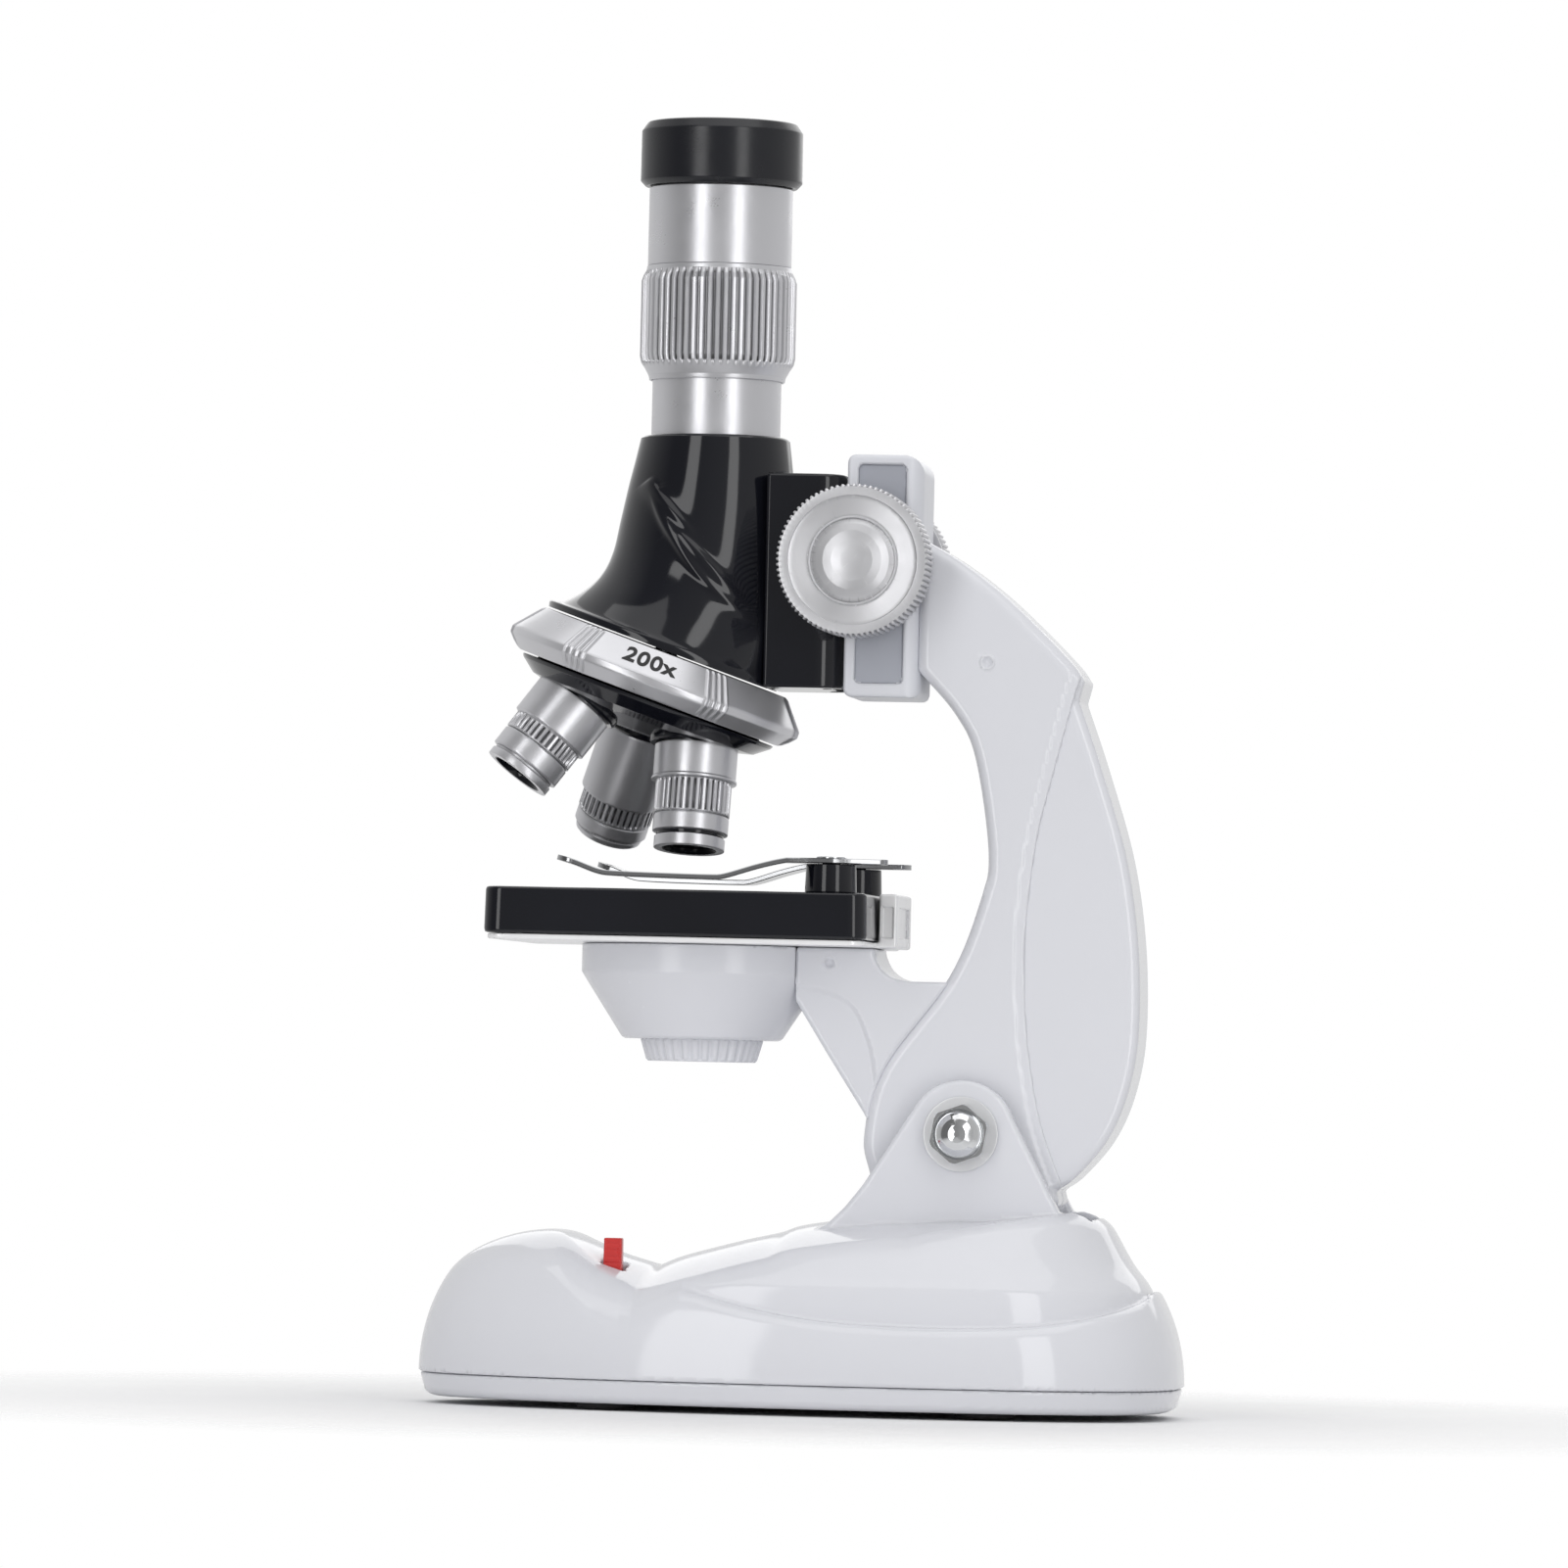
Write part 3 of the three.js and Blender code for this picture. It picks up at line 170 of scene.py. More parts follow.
def carve(a, b, radius=0.0):
    """What is inside the first and outside the second."""
    return meet(a, -b, radius)


def polygon_distance(x, z, points):
    best = np.full(np.broadcast(x, z).shape, np.inf)
    inside = np.zeros(best.shape, bool)
    for (ax, az), (bx, bz) in zip(points, np.roll(points, -1, 0)):
        ex, ez = bx - ax, bz - az
        length = ex * ex + ez * ez
        if length == 0:
            continue
        along = np.clip(((x - ax) * ex + (z - az) * ez) / length, 0, 1)
        best = np.minimum(best, (x - ax - ex * along)**2 + (z - az - ez * along)**2)
        if ez:
            inside ^= ((az > z) != (bz > z)) & (x < ex * (z - az) / ez + ax)
    return np.where(inside, -1, 1) * np.sqrt(best)


def outline_field(points, margin=6.0, cell=0.2):
    """The distance to an outline, looked up in a fine table."""
    points = np.array(points, float)
    start = points.min(0) - margin
    count = np.ceil((points.max(0) + margin - start) / cell).astype(int) + 2
    x = start[0] + cell * np.arange(count[0])[:, None]
    z = start[1] + cell * np.arange(count[1])[None, :]
    table = polygon_distance(x, z, points)

    def field(x, z):
        u = np.clip((x - start[0]) / cell, 0, count[0] - 1.001)
        v = np.clip((z - start[1]) / cell, 0, count[1] - 1.001)
        i, j = u.astype(int), v.astype(int)
        u, v = u - i, v - j
        return ((table[i, j] * (1 - u) + table[i + 1, j] * u) * (1 - v)
                + (table[i, j + 1] * (1 - u) + table[i + 1, j + 1] * u) * v)

    return field


def block(x, y, z, lowest, highest, radius=0.0):
    """A box with rounded edges between two corners."""
    sides = [np.abs(p - (a + b) / 2) - (b - a) / 2 for p, a, b in zip((x, y, z), lowest, highest)]
    return meet(meet(sides[0], sides[1], radius), sides[2], radius)


def column(x, y, centre, radius):
    return np.hypot(x - centre[0], y - centre[1]) - radius


# ---- Meshes ----

JUST_INSIDE = -0.001
ON_AXIS = 1e-6

def layers(value, axis, end):
    """The grid without its last layer along an axis, or without its first if end is 1."""
    cut = [slice(None)] * 3
    cut[axis] = slice(1, None) if end else slice(None, -1)
    return value[tuple(cut)]


def unpinched(value):
    """The sampled field, filled in where its surface would touch itself along a single edge."""
    value = np.array(value)
    for i, j in ((0, 1), (1, 2), (2, 0)) * 3:
        a, b, c, d = (layers(layers(value, i, u), j, v) for v in (0, 1) for u in (0, 1))
        rising = (a < 0) & (d < 0) & (b >= 0) & (c >= 0)
        falling = (a >= 0) & (d >= 0) & (b < 0) & (c < 0)
        b[rising] = JUST_INSIDE
        a[falling] = JUST_INSIDE
    return value


def surface_net(value, origin, cell):
    """Vertices and quads of the surface where the sampled field is zero."""
    owners, points, quads = [], [], []
    for axis in range(3):
        near, far = layers(value, axis, 0), layers(value, axis, 1)
        crossed = (near < 0) != (far < 0)
        index = np.argwhere(crossed)
        a, b = near[crossed], far[crossed]
        point = index.astype(float)
        point[:, axis] += a / (a - b)
        around = []
        for du, dw in ((0, 0), (1, 0), (1, 1), (0, 1)):
            corner = index.copy()
            corner[:, (axis + 1) % 3] -= du
            corner[:, (axis + 2) % 3] -= dw
            around.append(np.ravel_multi_index(corner.T, value.shape))
            owners.append(around[-1])
            points.append(point)
        quad = np.stack(around, 1)
        quads.append(np.where((a < 0)[:, None], quad, quad[:, ::-1]))
    cells, place = np.unique(np.concatenate(owners), return_inverse=True)
    points = np.concatenate(points)
    count = np.bincount(place)
    vertices = np.stack([np.bincount(place, points[:, k]) / count for k in range(3)], 1)
    return origin + cell * vertices, np.searchsorted(cells, np.concatenate(quads))


def gradient(field, points, step):
    out = np.empty_like(points)
    for k in range(3):
        shift = np.zeros(3)
        shift[k] = step
        out[:, k] = (field(*(points + shift).T) - field(*(points - shift).T)) / (2 * step)
    return out


def sculpted(field, lowest, highest, cell):
    """A closed mesh on the field's zero surface, with the field's own normals."""
    origin = np.array(lowest, float) - 2 * cell
    count = np.ceil((np.array(highest, float) + 2 * cell - origin) / cell).astype(int) + 1
    axes = [origin[k] + cell * np.arange(count[k]) for k in range(3)]
    value = unpinched(np.broadcast_to(field(*np.meshgrid(*axes, indexing="ij", sparse=True)), count))
    vertices, faces = surface_net(value, origin, cell)
    for _ in range(2):
        slope = gradient(field, vertices, 0.1 * cell)
        move = -field(*vertices.T)[:, None] * slope
        move /= np.maximum((slope**2).sum(1), 0.05)[:, None]
        length = np.linalg.norm(move, axis=1)
        vertices = vertices + move * np.minimum(1, 0.4 * cell / np.maximum(length, 1e-9))[:, None]
    slope = gradient(field, vertices, 0.3 * cell)
    slope /= np.maximum(np.linalg.norm(slope, axis=1), 1e-9)[:, None]
    mesh = bpy.data.meshes.new("sculpted")
    mesh.from_pydata((vertices * MM).tolist(), [], faces.tolist())
    mesh.update()
    mesh.shade_smooth()
    mesh.normals_split_custom_set_from_vertices(slope.tolist())
    return mesh


def plain_mesh(vertices, faces, sharp=35):
    """A smooth-shaded mesh whose edges above an angle stay sharp."""
    mesh = bpy.data.meshes.new("plain")
    mesh.from_pydata((np.array(vertices, float) * MM).tolist(), [], faces)
    mesh.validate()
    mesh.shade_smooth()
    mesh.set_sharp_from_angle(angle=math.radians(sharp))
    return mesh


def softened(profile, radius, steps=3, closed=True):
    """The profile with each corner turned into a small arc. A third number on a point is its own radius."""
    out = []
    count = len(profile)
    for i, point in enumerate(profile):
        here = np.array(point[:2], float)
        own = point[2] if len(point) > 2 else radius
        if (not closed and i in (0, count - 1)) or own == 0:
            out.append(here)
            continue
        before = np.array(profile[i - 1][:2], float) - here
        after = np.array(profile[(i + 1) % count][:2], float) - here
        before_length, after_length = np.linalg.norm(before), np.linalg.norm(after)
        before, after = before / before_length, after / after_length
        half = math.acos(max(-1.0, min(1.0, before @ after))) / 2
        if half > math.radians(87):
            out.append(here)
            continue
        reach = min(own / math.tan(half), 0.45 * before_length, 0.45 * after_length)
        for t in np.linspace(0, 1, steps + 1):
            out.append(here + before * reach * (1 - t)**2 + after * reach * t**2)
    return out


def refined(points, on_axis, step):
    """The profile with points added so that none of its steps in height is longer than that."""
    out = []
    for a, b in zip(points, points[1:] if on_axis else points[1:] + points[:1]):
        pieces = max(1, int(math.ceil(abs(b[1] - a[1]) / step)))
        out.extend(a + (b - a) * t for t in np.arange(pieces) / pieces)
    return out + [points[-1]] if on_axis else out


def ribbed(count, depth, start, end, fade=0.5, beyond=0.0):
    """A change of radius that makes upright ribs between two heights, outside a radius."""

    def change(angle, radius, height):
        wave = np.clip(0.75 + 0.95 * np.cos(angle * count), 0, 1) - 1
        reach = np.clip(min(height - start, end - height) / fade, 0, 1)
        return depth * wave * reach * (radius > beyond)

    return change


def framed(points, on_axis, margin=0.3):
    """The profile with a point close to each end of its long steps, so shading stays near the corners."""
    out = []
    for i, a in enumerate(points):
        out.append(a)
        if on_axis and i == len(points) - 1:
            break
        b = points[(i + 1) % len(points)]
        length = np.linalg.norm(b - a)
        for share in (margin / length, 2 * margin / length):
            if share < 0.2:
                out.append(a + (b - a) * share)
        for share in (2 * margin / length, margin / length):
            if share < 0.2:
                out.append(b - (b - a) * share)
    return out


def stepped(inner, start, *steps):
    """A profile for turned() that goes up in (radius, end height) steps outside an inner radius."""
    out = [(inner, start)]
    for radius, end in steps:
        out += [(radius, out[-1][1]), (radius, end)]
    return out + [(inner, out[-1][1])]


def turned(profile, sides=96, radius=0.2, change=None, step=None, sharp=35):
    """A profile of (radius, height) points turned about Z, its corners softened."""
    on_axis = profile[0][0] == 0 and profile[-1][0] == 0
    points = softened(profile, radius, closed=not on_axis)
    points = framed(points, on_axis)
    if step:
        points = refined(points, on_axis, step)
    angle = 2 * math.pi * np.arange(sides) / sides
    vertices, rings = [], []
    for r, height in points:
        if r < ON_AXIS:
            rings.append([len(vertices)] * sides)
            vertices.append((0, 0, height))
            continue
        around = r + (change(angle, r, height) if change else np.zeros(sides))
        rings.append(list(range(len(vertices), len(vertices) + sides)))
        vertices.extend(zip(around * np.cos(angle), around * np.sin(angle), np.full(sides, height)))
    pairs = list(zip(rings, rings[1:]))
    if not on_axis:
        pairs.append((rings[-1], rings[0]))
    area = sum(a[0] * b[1] - b[0] * a[1] for a, b in zip(points, points[1:] + points[:1]))
    faces = []
    for one, two in pairs:
        for i in range(sides):
            j = (i + 1) % sides
            face = [one[i], one[j], two[j], two[i]]
            face = [v for k, v in enumerate(face) if v != face[k - 1]]
            if len(face) > 2:
                faces.append(face if area > 0 else face[::-1])
    return plain_mesh(vertices, faces, sharp)


def skin(rows, count, closed=False):
    """Faces over rows of points, count to a row: the rows make a loop, or a run with two ends."""
    ends = [list(range(count)), list(range(rows * count - 1, (rows - 1) * count - 1, -1))]
    faces = [] if closed else ends
    for k in range(rows if closed else rows - 1):
        for i in range(count):
            a, b, j = k * count, (k + 1) % rows * count, (i + 1) % count
            faces.append([a + i, b + i, b + j, a + j])
    return faces


def extruded(profile, half_width):
    """A block with an outline in X and Z, drawn the positive way round, that wide to both sides."""
    vertices = [(x, y, z) for y in (-half_width, half_width) for x, z in profile]
    return plain_mesh(vertices, skin(2, len(profile)), 30)


def swept(path, radius, sides):
    """A round wire along a path of points."""
    path = np.array(path, float)
    along = np.gradient(path, axis=0)
    along /= np.linalg.norm(along, axis=1)[:, None]
    side = np.cross(along[0], (0.1, 0.2, 1.0))
    vertices = []
    angle = 2 * math.pi * np.arange(sides) / sides
    for point, direction in zip(path, along):
        side = side - direction * (side @ direction)
        side /= np.linalg.norm(side)
        up = np.cross(side, direction)
        vertices.extend(point + radius * (np.cos(a) * side + np.sin(a) * up) for a in angle)
    return plain_mesh(vertices, skin(len(path), sides), 50)


def stood(mesh, matrix):
    """The mesh moved by a matrix whose shift is in millimetres."""
    scaled = matrix.copy()
    scaled.translation = matrix.translation * MM
    mesh.transform(scaled)
    mesh.update()
    return mesh


def at(x, y, z):
    return Matrix.Translation((x, y, z))


def turn(angle, axis):
    return Matrix.Rotation(angle, 4, axis)


def sideways(x, y, z, sign):
    """Where a piece turned about Z goes when it has to point to the right (1) or left (-1)."""
    return at(x, y, z) @ turn(-sign * math.pi / 2, "X")


def inner_y(node, sign):
    """The face nearest the middle of a node on the right (1) or left (-1)."""
    return low(node)[1] if sign > 0 else high(node)[1]


TUBE_AXIS = at(OPTICAL_X, 0, 0)
SIDES = (("left", -1), ("right", 1))


# ---- Materials ----

class Nodes:
    """A short way to lay out a material's nodes."""

    def __init__(self, tree):
        self.tree = tree
        tree.nodes.clear()

    def add(self, kind, inputs=(), **settings):
        node = self.tree.nodes.new(kind)
        for key, value in settings.items():
            setattr(node, key, value)
        for key, value in dict(inputs).items():
            if isinstance(value, bpy.types.NodeSocket):
                self.tree.links.new(value, node.inputs[key])
            else:
                node.inputs[key].default_value = value
        return node

    def math(self, operation, *values):
        return self.add("ShaderNodeMath", enumerate(values), operation=operation).outputs[0]

    def spread(self, value, start, end, to_start, to_end):
        values = (value, start, end, to_start, to_end)
        return self.add("ShaderNodeMapRange", enumerate(values)).outputs[0]

    def noise(self, place, scale, detail=3.0, roughness=0.5):
        inputs = {"Vector": place, "Scale": scale, "Detail": detail, "Roughness": roughness}
        return self.add("ShaderNodeTexNoise", inputs).outputs[0]

    def mix(self, share, first, second):
        node = self.add("ShaderNodeMix", {0: share, 6: first, 7: second}, data_type="RGBA")
        return node.outputs[2]


def ramp_level(n, value, stops):
    """A grey level read from a row of (place, level) stops."""
    node = n.add("ShaderNodeValToRGB", {0: value})
    elements = node.color_ramp.elements
    while len(elements) < len(stops):
        elements.new(0.5)
    for element, (place, level) in zip(elements, stops):
        element.position = place
        element.color = (level, level, level, 1)
    return node.outputs[0]


def shade(color, factor):
    return [min(1.0, c * factor) for c in color[:3]] + [1.0]


FINISHES = {}


def finish(name, color, rough, metal=0.0, grain=0.02, grain_scale=900.0, mottle=0.04, worn=None,
           stretch=(1.0, 1.0, 1.0), clear=0.0, hollow_shade=0.0):
    """Adds a finish with a fine surface grain, uneven gloss and colour, rubbed edges, and painted shade in
    its hollows.
    """
    material = bpy.data.materials.new(name)
    material.use_nodes = True
    n = Nodes(material.node_tree)
    place = n.add("ShaderNodeTexCoord").outputs["Object"]
    broad = n.noise(place, 45.0, 4.0)
    smudge = n.noise(place, 160.0, 5.0, 0.65)
    tone = n.mix(n.spread(broad, 0.3, 0.7, 0.0, 1.0), shade(color, 1 - mottle), shade(color, 1 + mottle))
    pointed = n.add("ShaderNodeNewGeometry").outputs["Pointiness"]
    edge = n.spread(pointed, 0.58, 0.7, 0.0, 0.5)
    scuffs = n.spread(n.noise(place, 700.0, 2.0), 0.45, 0.62, 0.0, 1.0)
    rubbed = n.math("MULTIPLY", edge, scuffs)
    tone = n.mix(rubbed, tone, shade(worn or color, 1.0 if worn else 1.12))
    # painted shade: the colour darkens towards a tenth of itself in hollows and grooves (low pointiness)
    tone = n.mix(n.spread(pointed, 0.495, 0.45, 0.0, hollow_shade), tone, shade(color, 0.1))
    gloss = n.spread(smudge, 0.3, 0.75, rough * 0.85, rough * 1.2)
    gloss = n.math("MULTIPLY_ADD", rubbed, 0.3, gloss)
    along = n.add("ShaderNodeMapping", {"Vector": place, "Scale": stretch}).outputs[0]
    fine = n.noise(along, grain_scale, 3.0, 0.6)
    bump = n.add("ShaderNodeBump", {"Height": fine, "Strength": grain, "Distance": 0.0004}).outputs[0]
    surface = n.add("ShaderNodeBsdfPrincipled", {
        "Base Color": tone, "Roughness": gloss, "Metallic": metal, "Normal": bump,
        "Transmission Weight": clear,
    })
    n.add("ShaderNodeOutputMaterial", {"Surface": surface.outputs[0]})
    material.diffuse_color = shade(color, 1)
    FINISHES[name] = material


WHITE = (0.735, 0.742, 0.782)
WORN_BLACK = (0.03, 0.03, 0.034)
finish("white_plastic", WHITE, 0.085, grain=0.004, grain_scale=200, mottle=0.008)
finish("guide_plastic", (0.72, 0.73, 0.775), 0.32, mottle=0.012)
finish("guide_panel", (0.39, 0.405, 0.455), 0.45, grain=0.05, mottle=0.03)
finish("black_plastic", (0.0065, 0.007, 0.0105), 0.09, grain=0.004, grain_scale=240, mottle=0.15,
       worn=WORN_BLACK)
finish("satin_black", (0.008, 0.0085, 0.012), 0.25, grain=0.006, grain_scale=300, mottle=0.08,
       worn=WORN_BLACK)
finish("bright_trim", (0.92, 0.92, 0.93), 0.24, metal=0.15, grain_scale=800, mottle=0.02)
finish("zinc", (0.8, 0.805, 0.82), 0.33, metal=0.35, grain=0.04, grain_scale=1500, mottle=0.03)
# the silver finishes carry painted shade in their grooves and knurls
finish("silver_plastic", (0.66, 0.66, 0.685), 0.31, metal=0.72, grain=0.015, grain_scale=1100,
       mottle=0.02, worn=(0.8, 0.8, 0.82), hollow_shade=0.9)
finish("satin_silver", (0.68, 0.68, 0.7), 0.37, metal=0.72, grain=0.03, grain_scale=1100,
       mottle=0.02, worn=(0.82, 0.82, 0.83), hollow_shade=0.6)
finish("clip_steel", (0.4, 0.405, 0.415), 0.15, metal=1.0, grain=0.03, mottle=0.05,
       worn=(0.62, 0.63, 0.65))
finish("lamp_white", WHITE, 0.2, grain=0.003, grain_scale=200, mottle=0.006)
finish("chrome", (0.78, 0.79, 0.8), 0.1, metal=1.0, grain_scale=500, mottle=0.03)
finish("steel", (0.5, 0.51, 0.52), 0.22, metal=1.0, grain=0.1, grain_scale=1500, mottle=0.06,
       stretch=(1.0, 8.0, 1.0))
finish("rubber", (0.03, 0.03, 0.032), 0.75, grain=0.3, grain_scale=2200, mottle=0.2)
finish("red_plastic", (0.62, 0.03, 0.027), 0.28, grain=0.03, mottle=0.06)
finish("battery_sleeve", (0.03, 0.07, 0.22), 0.3, metal=0.3, grain=0.03, mottle=0.1)
finish("circuit_board", (0.02, 0.14, 0.05), 0.4, grain=0.15, mottle=0.15)
finish("clear_lens", (0.93, 0.97, 1.0), 0.04, grain=0.002, mottle=0.01, clear=0.92)
finish("print_black", (0.015, 0.015, 0.016), 0.5, grain=0.1, mottle=0.2)


# ---- Pieces ----


def piece(name, mesh, slot, node, extra=(), choose=None):
    """Adds a finished piece that stands for a CAD node and rides on its body. Faces may take an extra
    finish: choose(centres, normals) gives each face's place in the list of finishes."""
    obj = bpy.data.objects.new(name, mesh)
    mesh.name = name
    bpy.context.scene.collection.objects.link(obj)
    for finish_name in (slot, *extra):
        mesh.materials.append(FINISHES[finish_name])
    if choose:
        count = len(mesh.polygons)
        centres, normals = np.zeros(count * 3), np.zeros(count * 3)
        mesh.polygons.foreach_get("center", centres)
        mesh.polygons.foreach_get("normal", normals)
        pick = choose(centres.reshape(-1, 3) / MM, normals.reshape(-1, 3))
        mesh.polygons.foreach_set("material_index", np.asarray(pick, np.int32))
    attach(obj, BODY_OF[node])
    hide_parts(node)


def add_sculpted(node, slot, field, cell, below=0, above=0, **more):
    """The piece that stands for a node, sculpted within the node's box, which may be made larger."""
    mesh = sculpted(field, low(node) - below, high(node) + above, cell)
    piece(f"{node}_fine", mesh, slot, node, **more)


def add_turned(node, slot, place, *shape, **more):
    """The piece that stands for a node, turned and put in place. The shape is what turned() takes."""
    piece(f"{node}_fine", stood(turned(*shape), place), slot, node, **more)


def add_screw(node, place, *sizes):
    piece(f"{node}_fine", stood(screw_mesh(*sizes), place), "steel", node)


# ---- Base ----

def plan_distance(x, y, inset):
    """How far outside the base's plan a point is: long and round in front, squarer behind."""
    front = x < BASE_WIDEST_X
    reach = np.where(front, BASE_FRONT_REACH, BASE_REAR_REACH) - inset
    power = np.where(front, 2.2, 2.8)
    half = BASE_HALF_WIDTH - inset
    along = np.abs(x - BASE_WIDEST_X) / reach
    across = np.abs(y) / half
    size = np.maximum((along**power + across**power)**(1 / power), 0.05)
    slope = np.hypot(along**(power - 1) / reach, across**(power - 1) / half) * size**(1 - power)
    return (size - 1) / np.maximum(slope, 1 / BASE_FRONT_REACH)


def skirt_inset(z):
    """The flank of the skirt is a quarter of an ellipse."""
    across_flank, up_flank = 17.5, 24.6
    rise = np.clip((z - BASE_SEAM_Z) / up_flank, 0, 0.995)
    return across_flank * (1 - np.sqrt(1 - rise * rise))


def tier_inset(z):
    return height_at(TIER_INSETS, z)


def base_body(x, y, z):
    fall = CROWN * np.minimum((y / 16)**2, 4) * np.interp(x, [20, 36], [1, 0.2])
    crowned = np.interp(x, [-45, -32, -25, -17], [0, 1, 1, 0])
    skirt_top = z - height_at(HUMP_LINE + CREASE_LINE, x) + fall * crowned
    skirt = meet(plan_distance(x, y, skirt_inset(z)), 0.85 * skirt_top, np.interp(x, [-27, -14], [6, 1.6]))
    tier_top = z - height_at(TIER_LINE, x) + fall
    tier = meet(plan_distance(x, y, tier_inset(z)), 0.9 * tier_top, 2.4)
    tier = meet(tier, NOSE_X - x, 2.2)
    return merge(skirt, tier, 0.6)


EAR_FIELD = outline_field(outline(
    [(2.5, 24), (2.5, 29.8), (5.8, 31.8), (8.6, 34.6), (11.5, 38.3)],
    arc(HINGE_X, HINGE_Z, 9.1, 152, 18, 20),
    [(44.9, 34), (46.2, 24)],
))
TROUGH_FIELD = outline_field(outline(
    arc(HINGE_X, HINGE_Z, 21.2, 170, 310, 24),
    arc(HINGE_X, HINGE_Z, 26, 322, 350, 8),
    [(HINGE_X, HINGE_Z + 20)],
))


def base_shell_field(x, y, z):
    body = base_body(x, y, z)
    trough = meet(TROUGH_FIELD(x, z), np.abs(y) - EAR_INNER_Y)
    hollow = carve(body + BASE_WALL, trough - BASE_WALL)
    ears = meet(EAR_FIELD(x, z), np.abs(np.abs(y) - (EAR_OUTER_Y + EAR_INNER_Y) / 2) - 2.25, 1.0)
    ears = meet(ears, 27 - z)
    shell = merge(body, ears, 0.4)
    shell = carve(shell, hollow)
    shell = carve(shell, trough, 0.5)
    shell = carve(shell, np.hypot(x - HINGE_X, z - HINGE_Z) - BOLT_HOLE_R)
    shell = carve(shell, block(x, y, z, SLOT_LOW, SLOT_HIGH, 0.3), 0.4)
    return meet(shell, BASE_SEAM_Z - z, 0.4)


SWITCH_LOW, SWITCH_HIGH = low("switch_slider"), high("switch_slider")
LEVER_X = (SWITCH_LOW[0] + SWITCH_HIGH[0]) / 2
LEVER_Y = (SWITCH_LOW[1] + SWITCH_HIGH[1]) / 2
SWITCH_TRAVEL = JOINTS["switch_slide"]["range_m"][1] / MM
SLOT_LOW = (LEVER_X - 2.0, LEVER_Y - 1.8, 17)
SLOT_HIGH = (LEVER_X + 2.0, LEVER_Y + SWITCH_TRAVEL + 1.8, 45)

FEET = [f"foot_{i}" for i in (1, 2, 3, 4)]
BASE_SCREWS = [f"base_screw_{i}" for i in (1, 2, 3, 4)]
DOOR_LOW, DOOR_HIGH = low("battery_door"), high("battery_door")
TRAY_LOW, TRAY_HIGH = (-6, -15.4, -99), (52.4, 15.4, 99)


def base_plate_field(x, y, z):
    rim_inset = np.interp(z, [1, 1.4, 2, 4.9], [2.2, 1.6, 1.1, 0.3])
    rim = plan_distance(x, y, rim_inset)
    slab = meet(meet(rim, 1 - z, 0.6), z - (BASE_SEAM_Z - SEAM), 0.4)
    slab = carve(slab, meet(plan_distance(x, y, 3.2), 3 - z))
    well = block(x, y, z, TRAY_LOW, TRAY_HIGH)
    wall = meet(well - 1.6, np.abs(z - 8.25) - 5.75, 0.3)
    pedestal = block(x, y, z, (LEVER_X - 4, -21, 2.5), (LEVER_X + 4, -11, 10.9), 0.4)
    slab = merge(merge(slab, wall, 0.5), pedestal, 0.5)
    slab = carve(slab, well, 0.2)
    door = block(x, y, z, DOOR_LOW - (SEAM, SEAM, 5), DOOR_HIGH + (SEAM, SEAM, 0.1), 0.1)
    slab = carve(slab, door, 0.2)
    for node in FEET:
        foot = middle(node)
        slab = carve(slab, meet(column(x, y, foot, 5.2), z - high(node)[2] - 0.1), 0.2)
    for node in BASE_SCREWS:
        screw = middle(node)
        slab = carve(slab, meet(column(x, y, screw, 2.9), z - 2.3), 0.2)
        slab = carve(slab, column(x, y, screw, 1.4))
    return slab


def door_field(x, y, z):
    door = block(x, y, z, DOOR_LOW, DOOR_HIGH, 0.3)
    latch = block(x, y, z, (DOOR_LOW[0] + 2.4, -5, 0), (DOOR_LOW[0] + 5, 5, DOOR_LOW[2] + 0.45), 0.2)
    door = carve(door, latch, 0.15)
    arrow = np.abs(np.mod(x - DOOR_LOW[0], 1.6) - 0.8) - 0.35
    grip = meet(arrow, block(x, y, z, (DOOR_LOW[0] + 7, -7, 0), (DOOR_LOW[0] + 16, 7, DOOR_LOW[2] + 0.3)))
    return carve(door, grip, 0.1)


def screw_mesh(head_radius, head_height, shank_radius, length):
    """A pan-head screw standing on its head, with a cross recess and a thread."""
    tip = head_height + length
    profile = [(0, 0.5), (0.9, 0.45), (1.0, 0.02), (head_radius * 0.75, 0),
               (head_radius, head_height * 0.45), (head_radius, head_height), (shank_radius, head_height)]
    for z in np.arange(head_height + 1.5, tip - 1.5, 0.9):
        profile += [(shank_radius * 0.8, z), (shank_radius, z + 0.25), (shank_radius, z + 0.4),
                    (shank_radius * 0.8, z + 0.65)]
    profile += [(shank_radius * 0.6, tip - 0.8), (0, tip)]

    def cross(angle, radius, height):
        """The recess reaches further along four arms."""
        arms = np.clip(6 * np.abs(np.cos(2 * angle)) - 4.8, 0, 1)
        return np.where((radius <= 1.01) & (height < 0.5), 0.75 * arms, 0.0)

    return turned(profile, 32, 0.12, cross)


CELL_R, CELL_LONG = 7.25, 49.0
CELL_PROFILE = [(0, 0), (6.2, 0), (6.5, 0.35), (CELL_R, 0.35), (CELL_R, CELL_LONG - 0.4), (6.7, CELL_LONG),
                (3.0, CELL_LONG), (2.75, CELL_LONG + 0.3), (2.75, CELL_LONG + 1.3), (0, CELL_LONG + 1.3)]


def coil_path(node):
    """A conical coil that fills its node's box, wide end at the rear."""
    first, last, centre = low(node), high(node), middle(node)
    share = np.linspace(0, 1, 121)
    angle = 2 * math.pi * 2.5 * share
    radius = 4.6 - 2 * share
    x = last[0] - 0.4 - (last[0] - first[0] - 0.8) * share
    return np.stack([x, centre[1] + radius * np.sin(angle), centre[2] + radius * np.cos(angle)], 1)


